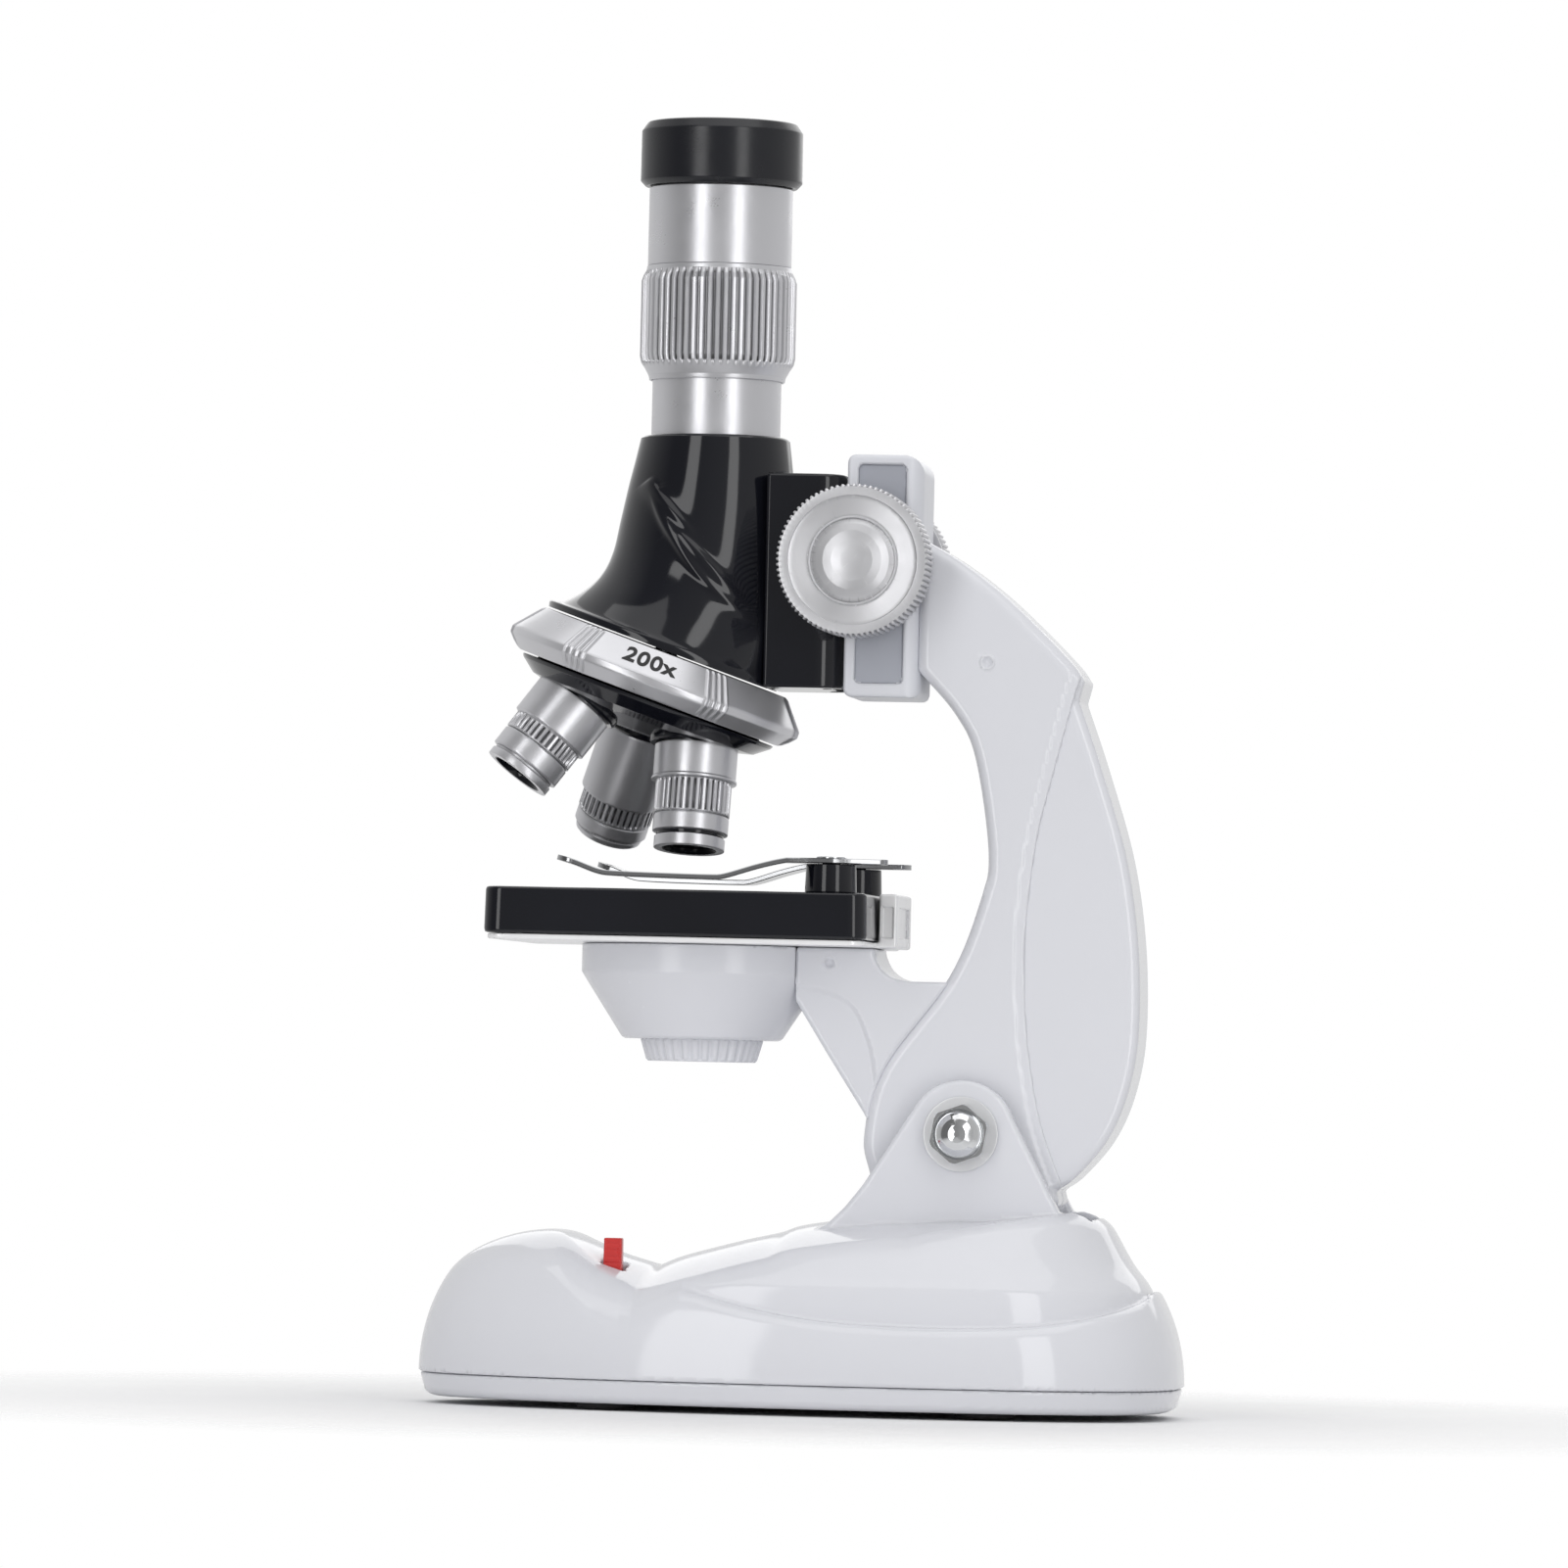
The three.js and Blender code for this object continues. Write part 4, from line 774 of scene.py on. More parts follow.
def add_base():
    add_sculpted("base_shell", "white_plastic", base_shell_field, 0.65)
    add_sculpted("base_plate", "white_plastic", base_plate_field, 0.6)
    add_sculpted("battery_door", "white_plastic", door_field, 0.35)
    for node in FEET:
        x, y, _ = middle(node)
        top = high(node)[2]
        rings = [(0, 0.25), (1.8, 0.25), (2.1, 0), (2.7, 0), (3.0, 0.25), (3.6, 0), (4.5, 0), (5, 0.4),
                 (5, top), (0, top)]
        add_turned(node, "rubber", at(x, y, 0), rings, 64, 0.15)
    for node in BASE_SCREWS:
        x, y, _ = middle(node)
        add_screw(node, at(x, y, low(node)[2]), 2.6, 1, 1.1, 12)
    for side, facing in SIDES:
        add_cell(f"battery_cell_{side}", facing)
        spring = f"battery_spring_{side}"
        piece(f"{spring}_fine", swept(coil_path(spring), 0.38, 10), "steel", spring)
    link = "battery_link_plate"
    add_sculpted(link, "steel", lambda x, y, z: block(x, y, z, low(link), high(link), 0.2), 0.25)
    add_switch()
    add_hinge()


def add_cell(node, facing):
    """A battery with a printed sleeve and a bare end, its pole towards +X if facing is 1."""
    _, y, z = middle(node)
    start, end = (low(node)[0], high(node)[0])[::facing]

    def bare_end(centres, normals):
        sleeve = np.hypot(centres[:, 1] - y, centres[:, 2] - z) > CELL_R - 0.35
        return np.where(sleeve & (facing * (end - centres[:, 0]) > 10), 0, 1)

    add_turned(node, "battery_sleeve", at(start, y, z) @ turn(facing * math.pi / 2, "Y"), CELL_PROFILE,
               64, 0.2, extra=("steel",), choose=bare_end)


def add_switch():
    lowest, highest = low("switch_body"), high("switch_body")

    def body(x, y, z):
        shell = block(x, y, z, lowest, highest, 0.5)
        return carve(shell, block(x, y, z, lowest + (1.5, 1.4, 2.5), highest + (-1.5, -1.4, 4), 0.3), 0.2)

    def lever(x, y, z):
        shoe = block(x, y, z, SWITCH_LOW, (SWITCH_HIGH[0], SWITCH_HIGH[1], 17), 0.4)
        draft = 0.012 * (SWITCH_HIGH[2] - z)
        stem = block(x, y, z, (LEVER_X - 1.6, LEVER_Y - 1.4, 15),
                     (LEVER_X + 1.6, LEVER_Y + 1.4, SWITCH_HIGH[2]), 0.35)
        grooves = 0.08 * np.clip(np.cos((z - SWITCH_HIGH[2]) * 2 * math.pi / 1.1), 0, 1) * (z > 24)
        return merge(shoe, stem - draft + 0.1 + grooves * (np.abs(x - LEVER_X) < 1.3), 0.3)

    add_sculpted("switch_body", "black_plastic", body, 0.35)
    add_sculpted("switch_slider", "red_plastic", lever, 0.2)


def hexagon(across_flats, profile, turned_by=0.0):
    """A nut or bolt head: a hexagon whose corners are cut by a cone, turned by an angle."""

    def change(angle, radius, height):
        if radius < across_flats / 2 + 0.02:
            return np.zeros_like(angle)
        spoke = np.mod(angle - turned_by, math.pi / 3) - math.pi / 6
        flat = across_flats / 2 / np.cos(spoke)
        return np.minimum(flat, radius) - radius

    return turned(profile, 192, 0.05, change, sharp=28)


def add_hinge():
    half, thick = 4.5, 3.6
    corner = half / math.cos(math.pi / 6)
    for side, sign in SIDES:
        node = f"hinge_washer_{side}"
        place = sideways(HINGE_X, inner_y(node, sign), HINGE_Z, sign)
        add_turned(node, "zinc", place, stepped(BOLT_HOLE_R, 0, (6.3, 0.7)), 96, 0.15)
    seat = high("hinge_washer_right")[1] + 0.05
    dome = [(0, 2.6), (3.1, 2.6), (3.1, 0), (half - 0.1, 0), (corner, 0.4), (corner, thick - 0.3, 0.05),
            (corner - 0.2, thick, 0.05), (half - 0.2, thick, 0.05), (half - 0.35, thick - 0.4, 0.1),
            (half - 0.5, thick + 0.1, 0.3), (3.6, thick + 1.2, 1), (2.7, thick + 2.05, 1),
            (1.5, thick + 2.6, 1), (0.5, thick + 2.78), (0, thick + 2.8)]
    nut = hexagon(2 * half, dome, math.radians(20))
    nut = stood(nut, sideways(HINGE_X, -seat, HINGE_Z, -1))
    piece("hinge_dome_nut_fine", nut, "chrome", "hinge_dome_nut")
    end = -seat - 19.2
    head = [(0, end), (3, end), (3, 0), (half - 0.1, 0), (corner, 0.45), (corner, thick - 0.6),
            (half - 0.2, thick), (0, thick)]
    bolt = stood(hexagon(2 * half, head, math.radians(12)), sideways(HINGE_X, seat, HINGE_Z, 1))
    piece("hinge_bolt_fine", bolt, "chrome", "hinge_bolt")


# ---- Arm ----

ARM_FIELD = outline_field(outline(
    spline(ARM_TOP), spline(ARM_REAR), ARM_HEEL,
    arc(HINGE_X, HINGE_Z, ARM_FOOT_R, -55, -145, 24), spline(ARM_INNER),
))
BORDER_FIELD = outline_field(outline(
    [(90, 170), (47.8, 135), (46.6, 126)], spline(ARM_BORDER), [(46.6, 33), (47, 25), (90, 10)],
), margin=45, cell=0.3)
ARM_SCREWS = ("arm_screw_1", "arm_screw_2")
ARM_DIMPLE = (30.2, 126.7)
BEVEL_WIDTH = 2.1  # how far from the rear cover the casing steps down
BEVEL_DEPTH, BEVEL_RUN = 0.4, 0.7
COVER_DROP = COVER_OVERLAP = 0.6  # the rear cover lies this much lower, and runs this far under the casing
SCREW_BOSS_R, SCREW_SHANK_R, SCREW_HEAD_R = 3, 1.2, 2.7
HINGE_BOSS_R, HINGE_BORE_R = 6, 3.1


def arm_body(x, y, z):
    """The whole arm with its broad rounded edges."""
    return meet(ARM_FIELD(x, z), np.abs(y) - ARM_HALF, 2.2)


def arm_inside(x, y, z):
    return meet(ARM_FIELD(x, z) + ARM_WALL, np.abs(y) - (ARM_HALF - ARM_WALL), 1.0)


def casing_field(side):
    """One half of the arm's casing; side is -1 for the left."""

    def field(x, y, z):
        body = carve(arm_body(x, y, z), arm_inside(x, y, z))
        hinge = np.hypot(x - HINGE_X, z - HINGE_Z)
        body = merge(body, meet(hinge - HINGE_BOSS_R, np.abs(y) - (ARM_HALF - 1)), 0.5)
        for node in ARM_SCREWS:
            sx, _, sz = middle(node)
            away = np.hypot(x - sx, z - sz)
            body = merge(body, meet(away - SCREW_BOSS_R, np.abs(y) - (ARM_HALF - 1)), 0.5)
            body = carve(body, meet(away - SCREW_SHANK_R, -5 - y))
            body = carve(body, meet(away - SCREW_HEAD_R, ARM_HALF - 2.4 - y), 0.2)
        body = carve(body, hinge - HINGE_BORE_R)
        border = -BORDER_FIELD(x, z) + SEAM / 2
        bevel = BEVEL_DEPTH * np.clip(1 + (border + BEVEL_WIDTH - BEVEL_RUN) / BEVEL_RUN, 0, 1)
        body = meet(body, np.abs(y) - ARM_HALF + bevel, 0.2)
        body = meet(body, border, 0.25)
        body = dimpled(body, x, y, z, ARM_DIMPLE)
        body = carve(body, block(x, y, z, (15, -6.2, 129.8), (25.2, 6.2, 142.2)))
        body = carve(body, block(x, y, z, (12, 5, 60), (26, 8.7, 69)))
        return meet(body, 0.03 - side * y, 0.3)

    return field


def rear_cover_field(x, y, z):
    cover = meet(arm_body(x, y, z), np.abs(y) - ARM_HALF + COVER_DROP, 1.8)
    cover = meet(cover, BORDER_FIELD(x, z) - COVER_OVERLAP, 0.25)
    return carve(cover, arm_inside(x, y, z))


def add_arm():
    for side, sign in SIDES:
        add_sculpted(f"arm_shell_{side}", "white_plastic", casing_field(sign), 0.6)
    add_sculpted("arm_rear_cover", "white_plastic", rear_cover_field, 0.55, (0, 0, 1), (1, 0, 2))
    for node in ARM_SCREWS:
        x, _, z = middle(node)
        add_screw(node, sideways(x, high(node)[1], z, -1), 2.4, 1.2, 1.05, 13)
    add_guide()
    add_sculpted("stage_bracket", "white_plastic", bracket_field, 0.45, (0, 0, 4))


GUIDE_LOW, GUIDE_HIGH = np.array([5.8, -11, 120.4]), np.array([18.7, 11, 161.4])
PANEL_X, PANEL_Z, PANEL_HALF_X, PANEL_HALF_Z = 11.75, 141.25, 4.05, 18.45
RAIL_Y, RAIL_Z, RAIL_HALF_LONG = 6, 139.8, 17.4
SHAFT_BORE_R = 2.1


def guide_field(x, y, z):
    """The block the head slides on: a groove and two dovetail rails in front, sunk panels on its flanks."""
    front, rear, top, bottom = GUIDE_LOW[0] - x, x - GUIDE_HIGH[0], z - GUIDE_HIGH[2], GUIDE_LOW[2] - z
    profile = meet(meet(rear, top, 3.4), meet(front, bottom, 1.5), 1.4)
    body = meet(meet(profile, np.abs(y) - ARM_HALF, 0.7), meet(rear, np.abs(y) - ARM_HALF, 3.0))
    rails = meet(np.abs(np.abs(y) - RAIL_Y) - (1.2 + 0.36 * (6.3 - x)), np.abs(x - 4.4) - 2.2, 0.1)
    rails = meet(meet(rails, np.abs(z - RAIL_Z) - RAIL_HALF_LONG, 0.2), 4.7 - np.abs(y))
    body = merge(body, rails, 0.1)
    body = carve(body, block(x, y, z, (0, -4.5, 100), (6.4, 4.5, 180)), 0.1)
    pinion_room = block(x, y, z, (0, -4.3, KNOB_Z - 5.4), (13.2, 4.3, KNOB_Z + 5.4))
    body = carve(body, pinion_room, 0.1)
    body = carve(body, np.hypot(x - KNOB_X, z - KNOB_Z) - SHAFT_BORE_R)
    panel = meet(np.abs(x - PANEL_X) - PANEL_HALF_X, np.abs(z - PANEL_Z) - PANEL_HALF_Z, 0.8)
    body = carve(body, meet(panel, ARM_HALF - 0.6 - np.abs(y), 0.1), 0.25)
    return merge(body, block(x, y, z, (16, -6, 130), (25, 6, 142), 0.3), 0.2)


def add_guide():
    def panel(centres, normals):
        """1 on the floor of the sunk panels."""
        x, y, z = centres.T
        sunk = (np.abs(y) < ARM_HALF - 0.45) & (np.abs(y) > ARM_HALF - 1) & (np.abs(normals[:, 1]) > 0.7)
        return sunk & (np.abs(x - PANEL_X) < PANEL_HALF_X) & (np.abs(z - PANEL_Z) < PANEL_HALF_Z)

    add_sculpted("rail_guide", "guide_plastic", guide_field, 0.4, extra=("guide_panel",), choose=panel)


LAMP_TOP_Z = high("lamp_housing")[2]
BRACKET_SEAM_X = low("stage_bracket")[0]
BRACKET_FIELD = outline_field(outline(
    [(-9, LAMP_TOP_Z), (12.05, LAMP_TOP_Z)],
    spline([(12.05, 78.1), (12.3, 76.8), (13.4, 74.7), (15.5, 73.2), (18.2, 72.7)], 4),
    [(24.9, 72.7)],
    [(x + 0.6, z) for x, z in spline(ARM_INNER)[::-1] if 48.5 < z < 73],
    [(4.3, 60.4), (BRACKET_SEAM_X, 69), (-9, 74)],
))
BRACKET_DIMPLE = (4.6, 75.5)
RELIEF_FIELD = outline_field(outline(
    spline([(-2, 71.6), (3.7, 70.7), (8.3, 68.5), (11.0, 63.8), (12.5, 58.1), (13.2, 50)], 10),
    [(-14, 50), (-14, 71.6)],
))


def dimpled(body, x, y, z, place):
    """A small round pit with a fine raised ring about it, on the left flank."""
    away = np.hypot(x - place[0], z - place[1])
    pit = np.sqrt(away**2 + (y + ARM_HALF + 0.1)**2) - 0.75
    ring = np.hypot(away - 1.1, y + ARM_HALF) - 0.22
    return merge(carve(body, pit, 0.15), ring, 0.25)


RELIEF_DEPTH, RELIEF_RUN = 0.6, 0.8


def bracket_field(x, y, z):
    """A hollow web whose lower part steps in behind a curved line."""
    outside = BRACKET_FIELD(x, z)
    step = RELIEF_DEPTH * np.clip(0.5 - RELIEF_FIELD(x, z) / RELIEF_RUN, 0, 1)
    body = meet(outside, np.abs(y) - ARM_HALF + step, 0.9)
    body = meet(body, BRACKET_SEAM_X - x, 0.12)
    body = carve(body, meet(meet(outside, BRACKET_SEAM_X - x) + 2.2, np.abs(y) - (ARM_HALF - 2.4), 0.4))
    body = dimpled(body, x, y, z, BRACKET_DIMPLE)
    tongue = block(x, y, z, (14.7, -4.8, 68.3), (26.3, 4.8, 72.4))
    return merge(body, tongue, 0.2)


# ---- Stage and lamp ----

LAMP_SECTION = outline_field(outline(
    [(20.4, LAMP_TOP_Z), (20.4, 73.4), (19.2, 71.5), (13.5, 62.7), (13.0, 62.4), (9.6, 62.4), (9.6, 64.2),
     (12.0, 65), (18.3, 74.4), (18.4, LAMP_TOP_Z)],
), cell=0.1)
STAGE_LOW, STAGE_HIGH = low("stage_plate"), high("stage_plate")
LIGHT_HOLE_R = 9.0
STAGE_HALF = STAGE_HIGH[1]
POSTS = {"left": middle("clip_post_left"), "right": middle("clip_post_right")}


def lamp_field(x, y, z):
    away = np.hypot(x - OPTICAL_X, y)
    bowl = LAMP_SECTION(away, z) - 0.25
    bowl = meet(bowl, z - LAMP_TOP_Z, 0.2)
    return meet(bowl, x - (BRACKET_SEAM_X - SEAM / 2), 0.12)


def stage_field(x, y, z):
    draft = 0.02 * (STAGE_HIGH[2] - z)
    middle_x = (STAGE_LOW[0] + STAGE_HIGH[0]) / 2
    half_x = (STAGE_HIGH[0] - STAGE_LOW[0]) / 2
    wall = meet(np.abs(x - middle_x) - half_x + 0.16 - draft, np.abs(y) - STAGE_HALF + 0.16 - draft, 3.0)
    plate = meet(wall, block(0, 0, z, (-99, -99, STAGE_LOW[2]), (99, 99, STAGE_HIGH[2])), 0.55)
    away = np.hypot(x - OPTICAL_X, y)
    hollow = meet(wall + 2.4, z - 84.6, 0.5)
    hollow = carve(hollow, away - LIGHT_HOLE_R - 2.4, 0.3)
    for post in POSTS.values():
        hollow = carve(hollow, column(x, y, post, 4), 0.3)
    plate = carve(plate, hollow, 0.2)
    plate = carve(plate, away - (LIGHT_HOLE_R - 1), 0.3)
    plate = carve(plate, meet(away - LIGHT_HOLE_R, 85.2 - z), 0.25)
    for post in POSTS.values():
        plate = carve(plate, meet(column(x, y, post, 2.1), 82.8 - z))
    return plate


def trim_field(x, y, z):
    lowest, highest = low("stage_trim"), high("stage_trim")
    sheet = meet(meet(np.abs(x - (STAGE_LOW[0] + 12.9) / 2) - 31.7, np.abs(y) - STAGE_HALF + 0.5, 2.6),
                 np.abs(z - lowest[2] - 0.45) - 0.45, 0.15)
    upright = block(x, y, z, (STAGE_HIGH[0] + 0.2, -12, lowest[2]), (highest[0], 12, highest[2]), 0.5)
    foot = block(x, y, z, (10, -12, lowest[2]), (STAGE_HIGH[0] + 1, 12, lowest[2] + 0.9), 0.15)
    body = merge(merge(sheet, upright, 0.2), foot, 0.1)
    upright_z = 82.5
    side_slot = meet(meet(np.abs(x - 14.35) - 0.95, np.abs(z - upright_z) - 2.6, 0.2), 11.5 - np.abs(y))
    body = carve(body, side_slot, 0.12)
    rear = meet(meet(np.abs(y) - 8.5, np.abs(z - upright_z) - 2.5, 0.5), 15.6 - x)
    body = carve(body, rear, 0.15)
    return carve(body, np.hypot(x - OPTICAL_X, y) - (LIGHT_HOLE_R - 1), 0.1)


CLIP_PROFILE = [(-46, 91.7), (-43.2, 90.9), (-39.1, 89.45), (-36, 89.15), (-30, 89.0), (-20.6, 88.9),
                (-17.8, 89.15), (-12.5, 90.8), (-8.3, 91.85), (-6, 92.0), (9.6, 92.0)]
CLIP_THICK = 0.85
CLIP_SPLAY = 0.14


def clip_mesh():
    """A cranked strip of spring steel, wide at its post and rounded at both ends."""
    line = spline(CLIP_PROFILE, 6)
    line = line[np.argsort(line[:, 0])]
    x = np.unique(np.concatenate([np.linspace(-46.0, -43.0, 14), np.linspace(-43.0, 4.0, 70),
                                  np.linspace(4.0, 9.5, 14)]))
    z = np.interp(x, line[:, 0], line[:, 1])
    half = np.interp(x, [-46, -42, -8, -3.5, 0, 3.2, 8, 9.5], [2.5, 2.6, 3.3, 4.2, 4.6, 3.6, 2.4, 2.4])
    half = np.where(x < -43.5, 2.5 * np.sqrt(np.clip(1 - ((x + 43.5) / 2.52)**2, 0.002, 1)), half)
    half = np.where(x > 8, 2.4 * np.sqrt(np.clip(1 - ((x - 8) / 1.52)**2, 0.01, 1)), half)
    slope = np.gradient(z, x)
    edge, upper = 0.14, CLIP_THICK - 0.14
    across = [(-1, edge), (-1, upper), (-0.96, CLIP_THICK), (0.96, CLIP_THICK), (1, upper), (1, edge),
              (0.96, 0), (-0.96, 0)]
    vertices = []
    for px, pz, w, s in zip(x, z, half, slope):
        length = math.hypot(1, s)
        for side, up in across:
            vertices.append((px - s * up / length * 0.9, side * w, pz + up / length))
    return plain_mesh(vertices, skin(len(x), len(across)), 30)


def cut_mesh(mesh, cutter):
    """The mesh with a cutter mesh taken out of it."""
    holder = bpy.data.objects.new("holder", mesh)
    tool = bpy.data.objects.new("tool", cutter)
    for obj in (holder, tool):
        bpy.context.scene.collection.objects.link(obj)
    modifier = holder.modifiers.new("cut", "BOOLEAN")
    modifier.object = tool
    modifier.operation = "DIFFERENCE"
    modifier.solver = "EXACT"
    bpy.context.view_layer.update()
    evaluated = holder.evaluated_get(bpy.context.evaluated_depsgraph_get())
    result = bpy.data.meshes.new_from_object(evaluated)
    for obj in (holder, tool):
        bpy.data.objects.remove(obj)
    result.materials.clear()
    result.shade_smooth()
    result.set_sharp_from_angle(angle=math.radians(30))
    return result


def add_lamp():
    add_sculpted("lamp_housing", "lamp_white", lamp_field, 0.45)
    cap_low, cap_high = heights("lamp_cap")
    cap = [(0, cap_low), (9.1, cap_low), (9.45, cap_low + 0.4), (10.4, 62.0), (10.2, 62.3), (9.4, 62.35),
           (9.4, cap_high), (8, cap_high), (8, 60.2), (0, 60.2)]
    ribs = ribbed(36, 0.4, cap_low + 0.15, 62.3, 0.3, 8.6)
    add_turned("lamp_cap", "lamp_white", TUBE_AXIS, cap, 432, 0.15, ribs, 0.5)
    add_turned("lamp_board", "circuit_board", TUBE_AXIS, stepped(0, 66.2, (7.6, 67.4)), 64, 0.12)
    led = [(0, 67.5), (2.9, 67.5), (2.9, 68.5), (2.5, 68.5), (2.5, 72.9), (2.25, 74.1), (1.6, 74.9),
           (0.8, 75.3), (0, 75.4)]
    add_turned("lamp_led", "clear_lens", TUBE_AXIS, led, 48, 0.1)
    cable = spline([(22, 5, 37), (17.5, 5, 44), (17.5, 5.5, 56), (20.5, 6.8, 64), (16, 7, 69), (6, 6, 73),
                    (-2, 4, 74.6), (-9, 1, 72.5), (-11.2, 0, 68.8)], 12)
    piece("lamp_cable_fine", swept(cable, 0.95, 16), "black_plastic", "lamp_cable")


def add_stage():
    add_lamp()
    add_sculpted("stage_plate", "black_plastic", stage_field, 0.5)
    add_sculpted("stage_trim", "bright_trim", trim_field, 0.3)
    add_turned("stage_window", "clear_lens", TUBE_AXIS, stepped(0, 85.3, (8.8, 86.7)), 96, 0.2)
    top = high("clip_post_left")[2] - 1.6
    head = top + CLIP_THICK + 0.12
    post = [(0, 83), (2, 83), (2, 87.1), (4.35, 87.1), (4.2, top), (1.45, top), (1.45, head),
            (2.6, head), (2.5, head + 0.3), (1.5, head + 0.55), (0, head + 0.6)]
    for side, sign in SIDES:
        x, y, _ = POSTS[side]
        place = at(x, y, 0) @ turn(-sign * CLIP_SPLAY, "Z")
        add_turned(f"clip_post_{side}", "black_plastic", place, post, 96, 0.2, extra=("chrome",),
                   choose=lambda centres, normals: centres[:, 2] > 92.4)
        strip = clip_mesh()
        for radius, x, z in ((0.75, -43.9, 91.3), (1.6, 0, 92.2)):
            strip = cut_mesh(strip, stood(turned(stepped(0, -3, (radius, 3)), 32, 0.1), at(x, 0, z)))
        piece(f"clip_{side}_fine", stood(strip, place), "clip_steel", f"clip_{side}")


# ---- Head ----

HEAD_RINGS = [
    ((-30.6, 164.4), (-5.4, 164.4), 12.6),
    ((-31.5, 160.4), (-4.8, 159.6), 13.2),
    ((-32.6, 155.8), (-4.2, 153.5), 14.1),
    ((-33.8, 150.1), (-4.0, 147), 15),
    ((-35, 144.5), (-4, 140), 16),
    ((-36.9, 140.7), (-4, 134.5), 17.2),
    ((-39.9, 137.9), (-4.2, 129), 18.8),
    ((-43.4, 136.0), (-5, 124), 20.6),
]
CARRIAGE_LOW_Z, CARRIAGE_TOP_Z = 121.8, high("rack_carriage")[2]
HEAD_SEAM_X = -7.8
RIDGES = [
    # a raised line on the flank from its upper end down, and the side on which it drops away (1 is behind)
    ([(-27.8, 156.9), (-27.1, 155.9), (-24.7, 153.1), (-22.5, 150.6), (-20.3, 148.2), (-18.9, 146.9)], 1),
    ([(-22.6, 148.6), (-21.8, 147.6), (-18.6, 144.3), (-15.4, 141.0), (-11.3, 136.3), (-9.8, 134.4)], 1),
    ([(-27.6, 155.4), (-27.2, 153.9), (-25.3, 149.8), (-23.0, 146.1), (-20.4, 142.4), (-17.6, 139.3),
      (-12.2, 134.6), (-9.8, 132.4)], -1),
]


def turret_point(radius, n):
    c, s = math.cos(TURRET_TILT), math.sin(TURRET_TILT)
    return (TURRET_CENTRE[0] + n * s + radius * c, TURRET_CENTRE[2] + n * c - radius * s)


def head_rings(inset=0.0):
    """Front point, rear point and half width of each ring, from the top down to the turret."""
    rings = [((f[0] + inset, f[1]), (r[0] - inset, r[1]), half - inset) for f, r, half in HEAD_RINGS]
    radius = 21.4 - inset
    for n in (6.9, 5.8):
        rings.append((turret_point(-radius, n), turret_point(radius, n), radius))
    return np.array([[*front, *rear, half] for front, rear, half in rings])


def merged_rise(a, b):
    """The higher of two reliefs, eased where they cross."""
    return 0.5 * (a + b + np.hypot(a - b, 0.12) - 0.12)


def ridge_relief(x, z):
    """Height of the raised ridges on the head's flank."""
    relief = np.zeros_like(x)
    for points, side in RIDGES:
        line = spline(points, 6)
        best, signed, share = np.full(x.shape, np.inf), np.zeros(x.shape), np.zeros(x.shape)
        for k, (a, b) in enumerate(zip(line, line[1:])):
            ex, ez = b - a
            t = np.clip(((x - a[0]) * ex + (z - a[1]) * ez) / (ex * ex + ez * ez), 0, 1)
            dx, dz = x - a[0] - ex * t, z - a[1] - ez * t
            away = np.hypot(dx, dz)
            closer = away < best
            best = np.where(closer, away, best)
            signed = np.where(closer, (ex * dz - ez * dx) / math.hypot(ex, ez), signed)
            share = np.where(closer, (k + t) / (len(line) - 1), share)
        envelope = np.sin(math.pi * np.clip(share, 0, 1)**0.8)**0.8
        outside = side * signed
        drop = 0.5 * (outside + np.hypot(outside, 0.3))
        foot = np.clip(1 - drop / 1.5, 0, 1)**2
        back = np.exp(-(np.maximum(-outside, 0) / 2.6)**2)
        beyond_end = np.clip(1 - (best - np.abs(signed)) / 0.5, 0, 1)
        relief = merged_rise(relief, envelope * beyond_end * foot * back)
    return relief


def head_surface(inset, ring_steps, sides, relief):
    rings = spline(head_rings(inset), ring_steps)
    if relief:
        rim = [(rings[0, 1], 0.6), (rings[0, 1] - 0.08, 0.3), (rings[0, 1] - 0.28, 0.08)]
        rim = [(rings[0, 0] + cut, z, rings[0, 2] - cut, z, rings[0, 4] - cut) for z, cut in rim]
        rings = np.vstack([rim, rings[rings[:, 1] < rim[-1][1] - 0.1]])
    angle = 2 * math.pi * np.arange(sides) / sides
    angle = angle + 0.3 * np.sin(2 * angle)  # closer together on the flanks
    share = (1 + np.cos(angle)) / 2
    x = rings[:, 0:1] + (rings[:, 2:3] - rings[:, 0:1]) * share
    z = rings[:, 1:2] + (rings[:, 3:4] - rings[:, 1:2]) * share
    y = rings[:, 4:5] * np.sin(angle)
    if relief:
        rise = ridge_relief(x, z) * (np.abs(y) > 3)
        x = x + rise * np.cos(angle)
        y = y + rise * np.sin(angle)
    return np.stack([x, y, z], 2)


def head_mesh():
    sides = 480
    outer = head_surface(0, 30, sides, True)
    inner = head_surface(2.2, 3, sides, False)[::-1]
    rows = np.vstack([outer, inner])
    return plain_mesh(rows.reshape(-1, 3), skin(len(rows), sides, closed=True), 60)


MODULE, PINION_TEETH = 0.6, 14
PITCH_R = MODULE * PINION_TEETH / 2


